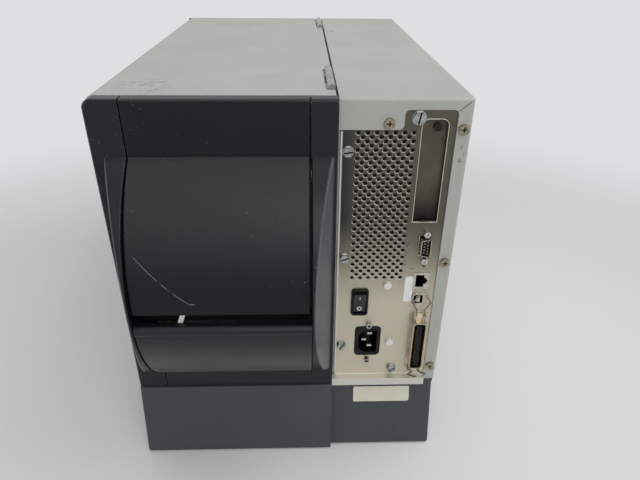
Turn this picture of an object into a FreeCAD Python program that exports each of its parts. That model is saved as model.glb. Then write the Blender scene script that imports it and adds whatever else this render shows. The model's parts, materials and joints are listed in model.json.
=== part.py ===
"""Tabletop industrial label printer as an assembly of separate pieces, in millimetres.

The frame is the object's own: +Z is up, the floor is z = 0, the front faces -Y, the media bay
is on the +X side of the seam and the electronics bay on the -X side.
"""

import FreeCAD
import Part
import math
import os
import re

import Sketcher

Vector = FreeCAD.Vector
Rotation = FreeCAD.Rotation

SIZES = {
    # overall casing
    "body_width": 275,
    "top_height": 339,
    "rear_plane": 176.5,
    "cover_depth": 402,
    "front_face": -237.5,
    "seam_x": -40,
    "seam_half": 0.9,
    "sheet": 1.2,
    "moulding": 3,
    "fit_gap": 0.3,
    # base tray and feet
    "base_inset": 1,
    "skirt_bottom": 2,
    "media_deck": 74,
    "board_deck": 69,
    "media_skirt_top": 8,
    "media_skirt_foot": 18.5,
    "board_skirt_top": -2,
    "board_skirt_foot": 13.3,
    "skirt_round": 3,
    "corner_block": 8,
    "corner_top": 72.5,
    "rib_thick": 2,
    "rib_top": 80,
    "rib_long": 360,
    "boss_side": 30,
    "boss_bottom": 7,
    "foot_inset": 27,
    "foot_radius": 11,
    "feed_slot_x": -24,
    "feed_slot_long": 128,
    "feed_slot_y": -62,
    "feed_slot_wide": 14,
    # electronics cover
    "cover_bottom": 73.5,
    "cover_bend": 3,
    "flange_deep_z": 315.5,
    "flange_shallow_z": 330,
    "flange_step_x": -88,
    "flange_side_x": -126.5,
    "flange_round": 3.5,
    "front_flange": 12,
    "slit_wide": 0.6,
    "slit_long": 11,
    # media door, window and hinges
    "door_bend": 7,
    "door_bottom": 77,
    "door_hem": 11,
    "door_rear_gap": 5,
    "window_front_y": -128,
    "window_rear_y": 98,
    "window_low_z": 128,
    "window_high_z": 296,
    "window_round": 14,
    "window_lap": 9,
    "pane": 2,
    "grip_front_y": -60,
    "grip_rear_y": 30,
    "grip_low_z": 84,
    "grip_high_z": 104,
    "hinge_x": -36.5,
    "hinge_z": 339.3,
    "barrel_radius": 3.2,
    "pin_radius": 1.5,
    "pin_fit": 0.05,
    "hinge_long": 66,
    "hinge_rear_at": 88,
    "hinge_front_at": 386,
    "leaf": 1.5,
    "leaf_wide": 22,
    # rear cover of the media bay
    "cover_face": 6,
    "cover_bottom_z": 75,
    "top_strip": 4,
    "bulge_radius": 121.7,
    "bulge_z": 195.5,
    "bulge_low": 93,
    "bulge_wall": 2.8,
    "rail_wall": 2.5,
    "outer_seam": 111.2,
    "inner_seam": -21.1,
    "outer_cheek": 127.6,
    "inner_cheek": -38,
    "cheek_angle": 14.5,
    "panel_shift_y": -4.5,
    "panel_shift_z": 3.1,
    "panel_low": 193.4,
    "panel_inner_gap": 1.3,
    "panel_outer_gap": 0.7,
    "lip_top": 184.5,
    "lip_roll": 4.5,
    "lip_shelf_y": 229.5,
    "top_round": 7,
    "crest_round": 2,
    "edge_round": 1.2,
    "groove_round": 0.8,
    # front
    "bezel_front": -236,
    "bezel_round": 5,
    "exit_low": 104,
    "exit_high": 172,
    "exit_left": -28,
    "exit_right": 104,
    "lens_x": -88,
    "lens_z": 286,
    "lens_wide": 66,
    "lens_high": 34,
    "key_radius": 8,
    "key_flange": 9.8,
    "key_row_z": 232,
    "key_low_z": 200,
    "key_pitch": 26,
    # rear panel
    "panel_back": 1.4,
    "panel_left": -43.7,
    "panel_right": -126.9,
    "panel_low_z": 78,
    "panel_high_z": 333,
    "panel_lip": 2.6,
    "ledge_left": -40.5,
    "ledge_out": 6.6,
    "ledge_drop": 7,
    "vent_left": -55.4,
    "vent_right": -96,
    "vent_top": 312.8,
    "vent_bottom": 187,
    "vent_rows": 39,
    "vent_columns": 7,
    "vent_radius": 1.75,
    "port_gap": 0.2,
    "lamp_x": -114.7,
    "lamp_z": 198.2,
    "lamp_radius": 1.5,
    # option slot
    "slot_left": -101.5,
    "slot_right": -120.6,
    "slot_low": 239.8,
    "slot_high": 322.8,
    "slot_round": 5,
    "slot_sink": 2.4,
    "slot_lap": 3,
    "slot_tab_wide": 6,
    "slot_knob": 3.1,
    "slot_knob_out": 3.4,
    # power switch
    "switch_x": -63,
    "switch_z": 162.4,
    "switch_wide": 14.8,
    "switch_high": 27.7,
    "switch_bezel": 2.2,
    "switch_round": 3,
    "switch_lap": 0.9,
    "switch_inset": 1.1,
    "switch_well": 11,
    "switch_body": 18,
    "rocker_wide": 10.2,
    "rocker_high": 20,
    "rocker_well": 22.8,
    "rocker_pivot": 2,
    "rocker_tilt": 10,
    # mains inlet
    "inlet_x": -71.9,
    "inlet_z": 118.9,
    "inlet_wide": 23,
    "inlet_high": 32.6,
    "inlet_proud": 1.2,
    "inlet_round": 4,
    "inlet_deep": 22,
    "well_wide": 16.4,
    "well_high": 24.4,
    "well_chamfer": 5,
    "well_deep": 17,
    "pin_wide": 4,
    "pin_thick": 2,
    "pin_reach": 14,
    "pin_pitch": 7,
    "stud_offset": 20,
    "stud_radius": 2.4,
    "stud_out": 5,
    "tail_radius": 1.5,
    "tail_long": 7,
    "tail_hole": 1.9,
    # ports
    "serial_x": -113.7,
    "serial_z": 218,
    "serial_wide": 8.4,
    "serial_high": 17,
    "serial_out": 5.5,
    "jack_offset": 12.5,
    "jack_radius": 2.8,
    "contact_pitch": 2.74,
    "contact_row": 1.4,
    "contact_radius": 0.6,
    "network_x": -114,
    "network_z": 183.7,
    "network_wide": 13,
    "network_high": 16.2,
    "network_deep": 21,
    "network_well": 13,
    "usb_x": -113.3,
    "usb_z": 165,
    "usb_wide": 10.4,
    "usb_high": 12.2,
    "usb_deep": 16,
    "usb_well": 9,
    "parallel_x": -116,
    "parallel_z": 118.5,
    "parallel_wide": 12,
    "parallel_high": 52,
    "parallel_out": 9,
    "parallel_wall": 1,
    "parallel_round": 3.5,
    "parallel_mouth_wide": 10.8,
    "parallel_mouth_high": 51.2,
    "block_wide": 9.4,
    "block_high": 49.4,
    "tongue_wide": 4.2,
    "tongue_high": 45,
    "plate_wide": 16,
    "plate_high": 64,
    "plate_thick": 1.6,
    "bail_offset": 31,
    "bail_out": 4.6,
    "bail_long": 23,
    "bail_wire": 0.7,
    "bail_leg": 3.4,
    "bail_flare": 8,
    "bail_lift": 27,
    # fasteners
    "hex_radius": 3.9,
    "hex_high": 4.2,
    "hex_big": 5,
    "washer": 0.9,
    "screw_slot": 1.2,
    "screw_depth": 1.4,
    "shank_radius": 2,
    "shank_long": 9,
    "pan_radius": 3.9,
    "pan_high": 2.4,
    "cross_long": 4.2,
    "cross_wide": 0.9,
    "cross_deep": 1.2,
    "post_radius": 3.2,
    "post_out": 3.2,
    "post_deep": 12,
    # chassis wall and boards
    "wall_x": -44,
    "wall_thick": 3,
    "wall_top": 334,
    "wall_front": -221,
    "wall_rear": 173,
    "board_x": -127.6,
    "board_thick": 1.6,
    "board_y": 8,
    "board_z": 84,
    "board_long": 160,
    "board_high": 220,
    "supply_x": -56,
    "supply_long": 140,
    "supply_high": 110,
    "can_radius": 9,
    "can_long": 34,
    # print mechanism
    "frame_x": 94,
    "frame_thick": 3,
    "platen_y": -205,
    "platen_z": 135,
    "platen_radius": 10,
    "platen_left": -27,
    "platen_right": 92,
    "shaft_radius": 4,
    "bearing_radius": 8,
    "bearing_fit": 0.05,
    "belt_x": -57,
    "belt_wide": 6,
    "belt_thick": 1.4,
    "belt_clear": 0.35,
    "pulley_flange": 1,
    "platen_pulley_r": 16,
    "motor_pulley_r": 8,
    "takeup_pulley_r": 20,
    "motor_y": -150,
    "motor_z": 118,
    "motor_side": 56.4,
    "motor_long": 50,
    "motor_face": -66,
    "motor_bolt": 23.57,
    "motor_shaft": 3.175,
    "takeup_y": -165,
    "takeup_z": 258,
    "supply_y": -68,
    "supply_z": 262,
    "core_radius": 12.4,
    "spindle_end": 84,
    "fin_high": 1.6,
    "head_y": -122,
    "head_z": 178,
    "head_left": -36,
    "head_right": 90,
    "trunnion": 4,
    "lever_y": -152,
    "lever_z": 160,
    "lever_arm": 58,
    "hanger_y": 115.8,
    "hanger_z": 221,
    "hanger_radius": 14,
    "hanger_end": 100,
    "guide_x": 62,
    "bed_z": 128,
    "bed_thick": 4,
    "bed_front": -150,
    "bed_rear": -84,
    "dancer_y": -18,
    "dancer_z": 142,
    "dancer_reach": 46,
    "dancer_lean": 215,
    "dancer_roll": 5,
    "tear_y": -220,
}

doc = FreeCAD.newDocument("label_printer")
sheet = doc.addObject("Spreadsheet::Sheet", "dims")
for row, (alias, number) in enumerate(SIZES.items(), 1):
    sheet.set(f"A{row}", alias)
    sheet.set(f"B{row}", str(number))
    sheet.setAlias(f"B{row}", alias)
doc.recompute()

ALIAS = re.compile(r"\b(" + "|".join(sorted(SIZES, key=len, reverse=True)) + r")\b")
ROLES = {"XY": "XY_Plane", "XZ": "XZ_Plane", "YZ": "YZ_Plane"}
TURNS = {"X": Rotation(Vector(0, 1, 0), 90), "Y": Rotation(Vector(1, 0, 0), -90), "Z": Rotation()}
nodes = {}


def bound(text):
    """Return a formula with every named size looked up in the sheet."""
    return ALIAS.sub(r"dims.\1", str(text))


def value(text):
    """Return the number that a formula gives now."""
    return float(sheet.evalExpression(bound(text)))


def bind(thing, prop, text):
    """Drive one property of an object by a formula."""
    thing.setExpression(prop, bound(text))


def place(thing, at, turn=None):
    """Turn an object and drive its position by three formulas."""
    thing.Placement = FreeCAD.Placement(Vector(*(value(text) for text in at)), turn or Rotation())
    for axis, text in zip("xyz", at):
        bind(thing, f"Placement.Base.{axis}", text)
    return thing


def box(name, low, size, turn=None):
    """Return a box from its low corner and its three sizes."""
    thing = doc.addObject("Part::Box", name)
    for prop, text in zip(("Length", "Width", "Height"), size):
        bind(thing, prop, text)
    return place(thing, low, turn)


def rod(name, axis, at, radius, length):
    """Return a cylinder that runs along X, Y or Z from its start point."""
    thing = doc.addObject("Part::Cylinder", name)
    bind(thing, "Radius", radius)
    bind(thing, "Height", length)
    return place(thing, at, TURNS[axis])


def hexagon(name, axis, at, radius, length):
    """Return a six-sided bar that runs along X, Y or Z from its start point."""
    thing = doc.addObject("Part::Prism", name)
    thing.Polygon = 6
    bind(thing, "Circumradius", radius)
    bind(thing, "Height", length)
    return place(thing, at, TURNS[axis])


def cut(name, base, *tools):
    """Return the base with the tools taken away."""
    tool = tools[0] if len(tools) == 1 else fuse(name + "_tools", *tools)
    thing = doc.addObject("Part::Cut", name)
    thing.Base = base
    thing.Tool = tool
    return thing


def fuse(name, *pieces):
    """Return the union of the pieces."""
    thing = doc.addObject("Part::MultiFuse", name)
    thing.Shapes = list(pieces)
    thing.Refine = True
    return thing


def common(name, *pieces):
    """Return what the pieces share."""
    thing = doc.addObject("Part::MultiCommon", name)
    thing.Shapes = list(pieces)
    return thing


def group(name, *pieces):
    """Return several separate solids as one group."""
    thing = doc.addObject("Part::Compound", name)
    thing.Links = list(pieces)
    return thing


def drawn(name, shape):
    """Return an object that holds a shape worked out in this script."""
    thing = doc.addObject("Part::Feature", name)
    thing.Shape = shape
    return thing


def keep(label, thing):
    """Name a finished sub-part and list it for writing."""
    thing.Label = label
    nodes[label] = thing
    return thing


def draw(sketch, loops):
    """Fill a sketch with closed outlines and circles driven by formulas."""
    rules = []
    formulas = []
    for loop in loops:
        if loop[0] == "circle":
            u, v, radius = loop[1:]
            circle = Part.Circle(Vector(value(u), value(v)), Vector(0, 0, 1), value(radius))
            index = sketch.addGeometry(circle)
            driven = [("DistanceX", (-1, 1, index, 3), u), ("DistanceY", (-1, 1, index, 3), v)]
            driven.append(("Radius", (index,), radius))
        else:
            corners = [Vector(value(u), value(v)) for u, v in loop]
            first = sketch.GeometryCount
            count = len(corners)
            for step in range(count):
                sketch.addGeometry(Part.LineSegment(corners[step], corners[(step + 1) % count]))
            driven = []
            for step, (u, v) in enumerate(loop):
                after = first + (step + 1) % count
                rules.append(Sketcher.Constraint("Coincident", first + step, 2, after, 1))
                formulas.append(None)
                driven.append(("DistanceX", (-1, 1, first + step, 1), u))
                driven.append(("DistanceY", (-1, 1, first + step, 1), v))
        for kind, where, text in driven:
            rules.append(Sketcher.Constraint(kind, *where, value(text)))
            formulas.append(text)
    sketch.addConstraint(rules)
    for index, text in enumerate(formulas):
        if text is not None:
            bind(sketch, f"Constraints[{index}]", text)


def sketch_on(body, name, plane, offset, loops):
    """Return a sketch in a body on one of its origin planes, moved along the axis to the offset."""
    sketch = body.newObject("Sketcher::SketchObject", name)
    support = next(item for item in body.Origin.OriginFeatures if item.Role == ROLES[plane])
    sketch.AttachmentSupport = (support, [""])
    sketch.MapMode = "FlatFace"
    bind(sketch, "AttachmentOffset.Base.z", f"-({offset})" if plane == "XZ" else offset)
    draw(sketch, loops)
    return sketch


def pad(name, plane, loops, start, length):
    """Return a body padded from the start along the plane's axis by the length."""
    body = doc.addObject("PartDesign::Body", name)
    offset = f"{start} + {length}" if plane == "XZ" else start
    sketch = sketch_on(body, name + "_outline", plane, offset, loops)
    feature = body.newObject("PartDesign::Pad", name + "_pad")
    feature.Profile = sketch
    bind(feature, "Length", length)
    body.Tip = feature
    doc.recompute()
    return body


def pocket(body, plane, loops, start, length):
    """Cut a drawn outline out of a body from the start along the plane's axis by the length."""
    before = body.Shape.Volume
    offset = start if plane == "XZ" else f"{start} + {length}"
    sketch = sketch_on(body, body.Name + "_cut_outline", plane, offset, loops)
    feature = body.newObject("PartDesign::Pocket", body.Name + "_cut")
    feature.Profile = sketch
    bind(feature, "Length", length)
    body.Tip = feature
    doc.recompute()
    if not body.Shape.Volume < before - 0.01:
        raise RuntimeError(f"the cut in {body.Name} takes nothing away")
    return body


def rounded(body, radius, chosen):
    """Round the edges of a body that the test picks, by a radius formula."""
    tip = body.Tip
    names = [f"Edge{index}" for index, edge in enumerate(tip.Shape.Edges, 1) if chosen(edge)]
    if not names:
        raise RuntimeError(f"no edge to round in {body.Name}")
    feature = body.newObject("PartDesign::Fillet", body.Name + "_round")
    feature.Base = (tip, names)
    bind(feature, "Radius", radius)
    body.Tip = feature
    doc.recompute()
    return body


def eased(name, thing, radius, chosen):
    """Return the thing with the edges that the test picks rounded."""
    doc.recompute()
    picked = [index for index, edge in enumerate(thing.Shape.Edges, 1) if chosen(edge)]
    if not picked:
        raise RuntimeError(f"no edge to ease in {thing.Name}")
    soft = doc.addObject("Part::Fillet", name)
    soft.Base = thing
    soft.Edges = [(index, value(radius), value(radius)) for index in picked]
    return soft


def turned(name, profile, axis_y, axis_z):
    """Return a body of revolution about an X axis at the given y and z; the profile is (x, radius)."""
    body = doc.addObject("PartDesign::Body", name)
    sketch = sketch_on(body, name + "_outline", "XZ", 0, [profile])
    feature = body.newObject("PartDesign::Revolution", name + "_turn")
    feature.Profile = sketch
    feature.ReferenceAxis = (sketch, ["H_Axis"])
    feature.Angle = 360
    body.Tip = feature
    doc.recompute()
    return place(body, (0, axis_y, axis_z))


def frame_of(u0, v0, u1, v1):
    """Return the outline of a rectangle from two opposite corners."""
    return [(u0, v0), (u1, v0), (u1, v1), (u0, v1)]


def around(x, z, wide, high, grow="0"):
    """Return the outline of a rectangle about a centre, grown by so much on every side."""
    half = f"({wide} / 2 + {grow})"
    tall = f"({high} / 2 + {grow})"
    return frame_of(f"{x} - {half}", f"{z} - {tall}", f"{x} + {half}", f"{z} + {tall}")


def runs(edge, axis):
    """Tell whether an edge is straight and runs along X, Y or Z."""
    ends = edge.Vertexes
    if len(ends) != 2:
        return False
    span = ends[1].Point - ends[0].Point
    return abs(abs(getattr(span, axis)) - span.Length) < 1e-6 and span.Length > 1e-6


def near(edge, **where):
    """Tell whether the middle of an edge lies at the given coordinates."""
    middle = edge.CenterOfMass
    return all(abs(getattr(middle, axis) - value(text)) < 0.05 for axis, text in where.items())


COVER_FRONT = "(rear_plane - cover_depth)"
HALF = "(body_width / 2)"
BASE_HALF = "(body_width / 2 - base_inset)"
FACE = "(rear_plane + cover_face)"
PANEL_FACE = "(rear_plane - panel_back)"
BULGE_Y = "(-front_face - bulge_radius)"


def build_base():
    """Make the moulded base skirt with its decks, and the rubber feet under its bosses."""
    media = pad("media_skirt", "YZ", [[
        (COVER_FRONT, "skirt_bottom"),
        ("rear_plane + media_skirt_foot", "skirt_bottom"),
        ("rear_plane + media_skirt_top", "media_deck"),
        (COVER_FRONT, "media_deck"),
    ]], "seam_x", f"{BASE_HALF} - seam_x")
    outer = value(BASE_HALF)
    rounded(media, "skirt_round", lambda edge: abs(edge.CenterOfMass.x - outer) < 0.05
            and abs(edge.CenterOfMass.z - 38) < 3)
    board = pad("board_skirt", "YZ", [[
        (COVER_FRONT, "skirt_bottom"),
        ("rear_plane + board_skirt_foot", "skirt_bottom"),
        ("rear_plane + board_skirt_top", "board_deck"),
        (COVER_FRONT, "board_deck"),
    ]], f"-{BASE_HALF}", f"seam_x + {BASE_HALF}")
    rounded(board, "skirt_round", lambda edge: abs(edge.CenterOfMass.x + outer) < 0.05
            and abs(edge.CenterOfMass.z - 35.5) < 3)
    block = box("corner_block_solid", (f"-{BASE_HALF}", "rear_plane - 30", "board_deck - 1"),
                ("corner_block", "30 + board_skirt_top", "corner_top - board_deck + 1"))
    media_hollow = pad("media_hollow", "YZ", [[
        (f"{COVER_FRONT} + moulding", "skirt_bottom - 1"),
        ("rear_plane + media_skirt_foot - moulding", "skirt_bottom - 1"),
        ("rear_plane + media_skirt_top - moulding", "media_deck - moulding"),
        (f"{COVER_FRONT} + moulding", "media_deck - moulding"),
    ]], "seam_x + moulding / 2", f"{BASE_HALF} - seam_x - moulding * 1.5")
    board_hollow = pad("board_hollow", "YZ", [[
        (f"{COVER_FRONT} + moulding", "skirt_bottom - 1"),
        ("rear_plane + board_skirt_foot - moulding", "skirt_bottom - 1"),
        ("rear_plane + board_skirt_top - moulding", "board_deck - moulding"),
        (f"{COVER_FRONT} + moulding", "board_deck - moulding"),
    ]], f"-{BASE_HALF} + moulding", f"seam_x + {BASE_HALF} - moulding * 1.5")
    slot = box("feed_slot", ("feed_slot_x", "feed_slot_y", "media_deck - moulding - 1"),
               ("feed_slot_long", "feed_slot_wide", "moulding + 2"))
    shell = cut("base_shell", fuse("base_outer", media, board, block), media_hollow, board_hollow, slot)
    bosses = []
    feet = []
    for side, top in ((1, "media_deck"), (-1, "board_deck")):
        for along in (1, -1):
            x = f"{side} * (body_width / 2 - foot_inset)"
            y = "rear_plane - foot_inset + 4" if along > 0 else f"{COVER_FRONT} + foot_inset"
            bosses.append(box("foot_boss", (f"{x} - boss_side / 2", f"{y} - boss_side / 2", "boss_bottom"),
                              ("boss_side", "boss_side", f"{top} - boss_bottom - moulding / 2")))
            feet.append(rod("foot", "Z", (x, y, 0), "foot_radius", "boss_bottom"))
    rib = box("cover_rib", (f"-{HALF} + sheet + 0.6", f"{COVER_FRONT} + 10", "board_deck - 1"),
              ("rib_thick", "rib_long", "rib_top - board_deck + 1"))
    tray = fuse("base_whole", shell, rib, *bosses)
    keep("base_tray", eased("base_tray", tray, "edge_round", lambda edge: runs(edge, "x")
                            and (near(edge, y="rear_plane + media_skirt_top", z="media_deck")
                                 or near(edge, y=COVER_FRONT, z="media_deck"))))
    keep("rubber_feet", group("rubber_feet", *feet))


def build_electronics_cover():
    """Make the sheet-metal cover over the electronics, with its notched rear flange."""
    outline = frame_of(f"-{HALF}", "cover_bottom", "seam_x - seam_half", "top_height")
    outer = pad("cover_block", "XZ", [outline], COVER_FRONT, "cover_depth")
    side = -value(HALF)
    top = value("top_height")
    rear = value("rear_plane")
    rounded(outer, "cover_bend", lambda edge: (runs(edge, "y") and near(edge, x=side, z=top))
            or (runs(edge, "z") and near(edge, x=side, y=rear))
            or (runs(edge, "x") and near(edge, y=rear, z=top)))
    inner = pad("cover_hollow", "XZ", [frame_of(f"-{HALF} + sheet", "cover_bottom - 5", "seam_x + 5",
                                                "top_height - sheet")],
                f"{COVER_FRONT} + sheet", "cover_depth - sheet * 2")
    rounded(inner, "cover_bend - sheet", lambda edge: (runs(edge, "y") and near(edge, x=f"-{HALF} + sheet",
                                                                                   z="top_height - sheet"))
            or (runs(edge, "z") and near(edge, x=f"-{HALF} + sheet", y="rear_plane - sheet"))
            or (runs(edge, "x") and near(edge, y="rear_plane - sheet", z="top_height - sheet")))
    rear_gap = pad("rear_opening", "XZ", [[
        ("flange_side_x", "cover_bottom - 5"),
        ("flange_side_x", "flange_shallow_z"),
        ("flange_step_x", "flange_shallow_z"),
        ("flange_step_x", "flange_deep_z"),
        ("seam_x + 5", "flange_deep_z"),
        ("seam_x + 5", "cover_bottom - 5"),
    ]], "rear_plane - cover_bend - 1", "cover_bend + 2")
    notches = (("flange_side_x", "flange_shallow_z"), ("flange_step_x", "flange_shallow_z"),
               ("flange_step_x", "flange_deep_z"))
    rounded(rear_gap, "flange_round",
            lambda edge: runs(edge, "y") and any(near(edge, x=x, z=z) for x, z in notches))
    front_gap = box("front_opening", (f"-{HALF} + front_flange", f"{COVER_FRONT} - 1", "cover_bottom - 5"),
                    (HALF, "sheet + 2", "top_height - front_flange - cover_bottom + 5"))
    slit = box("corner_slit", (f"-{HALF} + 2.6", "rear_plane - sheet - 0.5", "top_height - 3.2"),
               ("slit_long", "sheet + 1", "slit_wide"), Rotation(Vector(0, 1, 0), 41))
    cuts = [inner, rear_gap, front_gap, slit]
    cuts.append(rod("top_hole", "Z", (-49, "rear_plane - 290", "top_height - 4"), 1.6, 6))
    for x, z in COVER_SCREWS:
        cuts.append(rod("cover_hole", "Y", (x, "rear_plane - 4", z), "shank_radius + fit_gap", 6))
    keep("electronics_cover", cut("electronics_cover", outer, *cuts))


COVER_SCREWS = (("-77.1", "320.5"), ("-131.3", "316"), ("-131.3", "203"), ("-131.3", "90"))
HEX_SCREWS = (
    ("-98.3", "324.2", "hex_big", 80),
    ("-48.3", "299", "hex_radius", 8),
    ("-48.3", "207.5", "hex_radius", 20),
    ("-48.3", "115", "hex_radius", 55),
    ("-95.4", "87.2", "hex_radius", 32),
)
NYLON_POSTS = (("-85.8", "180.2"), ("-91.6", "118.7"))

# what stands on the two boards: y, z, length along y, height along z, and how far it stands out
LOGIC_CHIPS = (
    (40, 200, 36, 36, 3),
    (90, 220, 28, 28, 3),
    (96, 180, 22, 12, 2),
    (40, 130, 60, 24, 8),
    (30, 260, 80, 20, 10),
    (120, 260, 16, 16, 12),
    (110, 120, 20, 26, 9),
)
SUPPLY_LUMPS = (
    (20, 100, 34, 40, 30),
    (70, 96, 8, 70, 36),
    (92, 104, 34, 34, 28),
    (24, 150, 30, 26, 22),
)
SUPPLY_CANS = ((112, 158), (112, 180))


def hinge_starts():
    """Return the y formulas at which the two hinges begin."""
    return ("rear_plane - hinge_rear_at", "rear_plane - hinge_front_at")


def build_door():
    """Make the folded media door with its window and the two hinges at the seam."""
    door = pad("door_sheet", "XZ", [[
        ("seam_x + seam_half", "top_height - sheet"),
        (f"{HALF} - sheet", "top_height - sheet"),
        (f"{HALF} - sheet", "door_bottom + sheet"),
        (f"{HALF} - door_hem", "door_bottom + sheet"),
        (f"{HALF} - door_hem", "door_bottom"),
        (HALF, "door_bottom"),
        (HALF, "top_height"),
        ("seam_x + seam_half", "top_height"),
    ]], COVER_FRONT, "cover_depth - door_rear_gap")
    rounded(door, "door_bend", lambda edge: runs(edge, "y") and near(edge, x=HALF, z="top_height"))
    rounded(door, "door_bend - sheet", lambda edge: runs(edge, "y") and near(edge, x=f"{HALF} - sheet",
                                                                             z="top_height - sheet"))
    pocket(door, "YZ", [frame_of("window_front_y", "window_low_z", "window_rear_y", "window_high_z")],
           f"{HALF} - sheet - 1", "sheet + 2")
    corners = [(y, z) for y in ("window_front_y", "window_rear_y")
               for z in ("window_low_z", "window_high_z")]
    rounded(door, "window_round",
            lambda edge: runs(edge, "x") and any(near(edge, y=y, z=z) for y, z in corners))
    pocket(door, "YZ", [frame_of("grip_front_y", "grip_low_z", "grip_rear_y", "grip_high_z")],
           f"{HALF} - sheet - 1", "sheet + 2")
    grips = [(y, z) for y in ("grip_front_y", "grip_rear_y") for z in ("grip_low_z", "grip_high_z")]
    rounded(door, "door_bend",
            lambda edge: runs(edge, "x") and any(near(edge, y=y, z=z) for y, z in grips))
    pocket(door, "XY", [frame_of("seam_x", f"{start} - 1", "hinge_x + barrel_radius + 1.4",
                                 f"{start} + hinge_long + 1") for start in hinge_starts()],
           "top_height - sheet - 1", "sheet + 2")
    keep("media_door", door)
    pane = pad("door_window", "YZ", [frame_of("window_front_y - window_lap", "window_low_z - window_lap",
                                              "window_rear_y + window_lap", "window_high_z + window_lap")],
               f"{HALF} - sheet - pane", "pane")
    rounded(pane, "window_round", lambda edge: runs(edge, "x"))
    keep("door_window", pane)
    build_hinges()


def build_hinges():
    """Make the two hinges, each with a door leaf, a fixed leaf and a pin through three knuckles."""
    door_leaves = []
    fixed_leaves = []
    pins = []
    third = "(hinge_long / 3)"
    knuckle_long = f"{third} - fit_gap"
    for start in hinge_starts():
        bore = rod("hinge_bore", "Y", ("hinge_x", f"{start} - 1", "hinge_z"),
                   "pin_radius + pin_fit", "hinge_long + 2")
        plate = box("door_plate", ("hinge_x + barrel_radius + 0.6", start, "top_height - sheet - leaf"),
                    ("leaf_wide", "hinge_long", "leaf"))
        pieces = [plate]
        for step in (0, 2):
            at = f"{start} + {step} * {third} + fit_gap / 2"
            pieces.append(rod("door_knuckle", "Y", ("hinge_x", at, "hinge_z"), "barrel_radius", knuckle_long))
            pieces.append(box("door_web", ("hinge_x", at, "top_height - sheet - leaf"),
                              ("barrel_radius + 1", knuckle_long, "leaf + 0.4")))
        door_leaves.append(cut("door_leaf", fuse("door_leaf_solid", *pieces), bore))
        at = f"{start} + {third} + fit_gap / 2"
        knuckle = rod("fixed_knuckle", "Y", ("hinge_x", at, "hinge_z"), "barrel_radius", knuckle_long)
        bridge = box("fixed_bridge", ("wall_x + wall_thick", at, "top_height - sheet - leaf - 1.6"),
                     ("hinge_x - wall_x - wall_thick", knuckle_long, "leaf"))
        leg = box("fixed_leg", ("wall_x + wall_thick", at, "wall_top - 18"),
                  ("leaf", knuckle_long, "top_height - sheet - leaf - 1.6 - wall_top + 18.5"))
        fixed_leaves.append(cut("fixed_leaf", fuse("fixed_leaf_solid", knuckle, bridge, leg), bore))
        pins.append(rod("hinge_pin", "Y", ("hinge_x", start, "hinge_z"), "pin_radius", "hinge_long"))
    keep("hinge_door_leaves", group("hinge_door_leaves", *door_leaves))
    keep("hinge_fixed_leaves", group("hinge_fixed_leaves", *fixed_leaves))
    keep("hinge_pins", group("hinge_pins", *pins))


def bulge(name, left, right, inset="0"):
    """Return the rounded body of the rear cover between two x positions, shrunk by the inset."""
    drum = rod(name + "_drum", "X", (left, BULGE_Y, "bulge_z"),
               f"bulge_radius - {inset}", f"{right} - ({left})")
    space = box(name + "_space", (f"{left} - 1", f"{FACE} - moulding - ({inset})", f"bulge_low + {inset}"),
                (f"{right} - ({left}) + 2", 100, 250))
    return common(name, drum, space)


def cheek(name, edge, side, inset="0"):
    """Return the block that trims a rail's outer cheek to its draft angle, outwards on the given side."""
    lean = value("cheek_angle")
    turn = Rotation(Vector(0, 0, 1), side * lean)
    size = (60, 160, 280)
    if side > 0:
        return box(name, (f"{edge} - ({inset})", FACE, 60), size, turn)
    x = f"{edge} + {inset} - {size[0] * math.cos(math.radians(lean))}"
    y = f"{FACE} + {size[0] * math.sin(math.radians(lean))}"
    return box(name, (x, y, 60), size, turn)


def build_rear_cover():
    """Make the media bay's rear cover: two rails, the panel between them and the fan-fold lip."""
    rails = (("rear_cover_outer_rail", "outer_seam + fit_gap", BASE_HALF, "outer_cheek", 1),
             ("rear_cover_inner_rail", "seam_x", "inner_seam - fit_gap", "inner_cheek", -1))
    for label, left, right, edge, side in rails:
        width = f"{right} - ({left})"
        flat = pad(label + "_flat", "XZ", [frame_of(left, "cover_bottom_z", right, "top_height")],
                   f"{FACE} - moulding", "moulding")
        strip = box(label + "_strip", (left, "rear_plane - top_strip", "top_height - moulding"),
                    (width, "cover_face + top_strip", "moulding"))
        if side > 0:
            body_left, body_right = left, "outer_cheek"
            hollow_left, hollow_right = f"{left} + rail_wall", "outer_cheek - bulge_wall"
        else:
            body_left, body_right = "inner_cheek", right
            hollow_left, hollow_right = "inner_cheek + bulge_wall", f"{right} - rail_wall"
        swell = cut(label + "_swell", bulge(label + "_bulge", body_left, body_right),
                    cheek(label + "_cheek", edge, side))
        void = cut(label + "_void", bulge(label + "_hollow", hollow_left, hollow_right, "bulge_wall"),
                   cheek(label + "_inner_cheek", edge, side, "bulge_wall"))
        solid = fuse(label + "_solid", flat, strip, swell)
        cuts = [void, corner_trim(label)] if side > 0 else [void]
        whole = cut(label + "_whole", solid, *cuts)
        keep(label, ease_rail(label, whole, left if side > 0 else right, BASE_HALF if side > 0 else None))
    build_cover_panel()
    build_lip()


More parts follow.
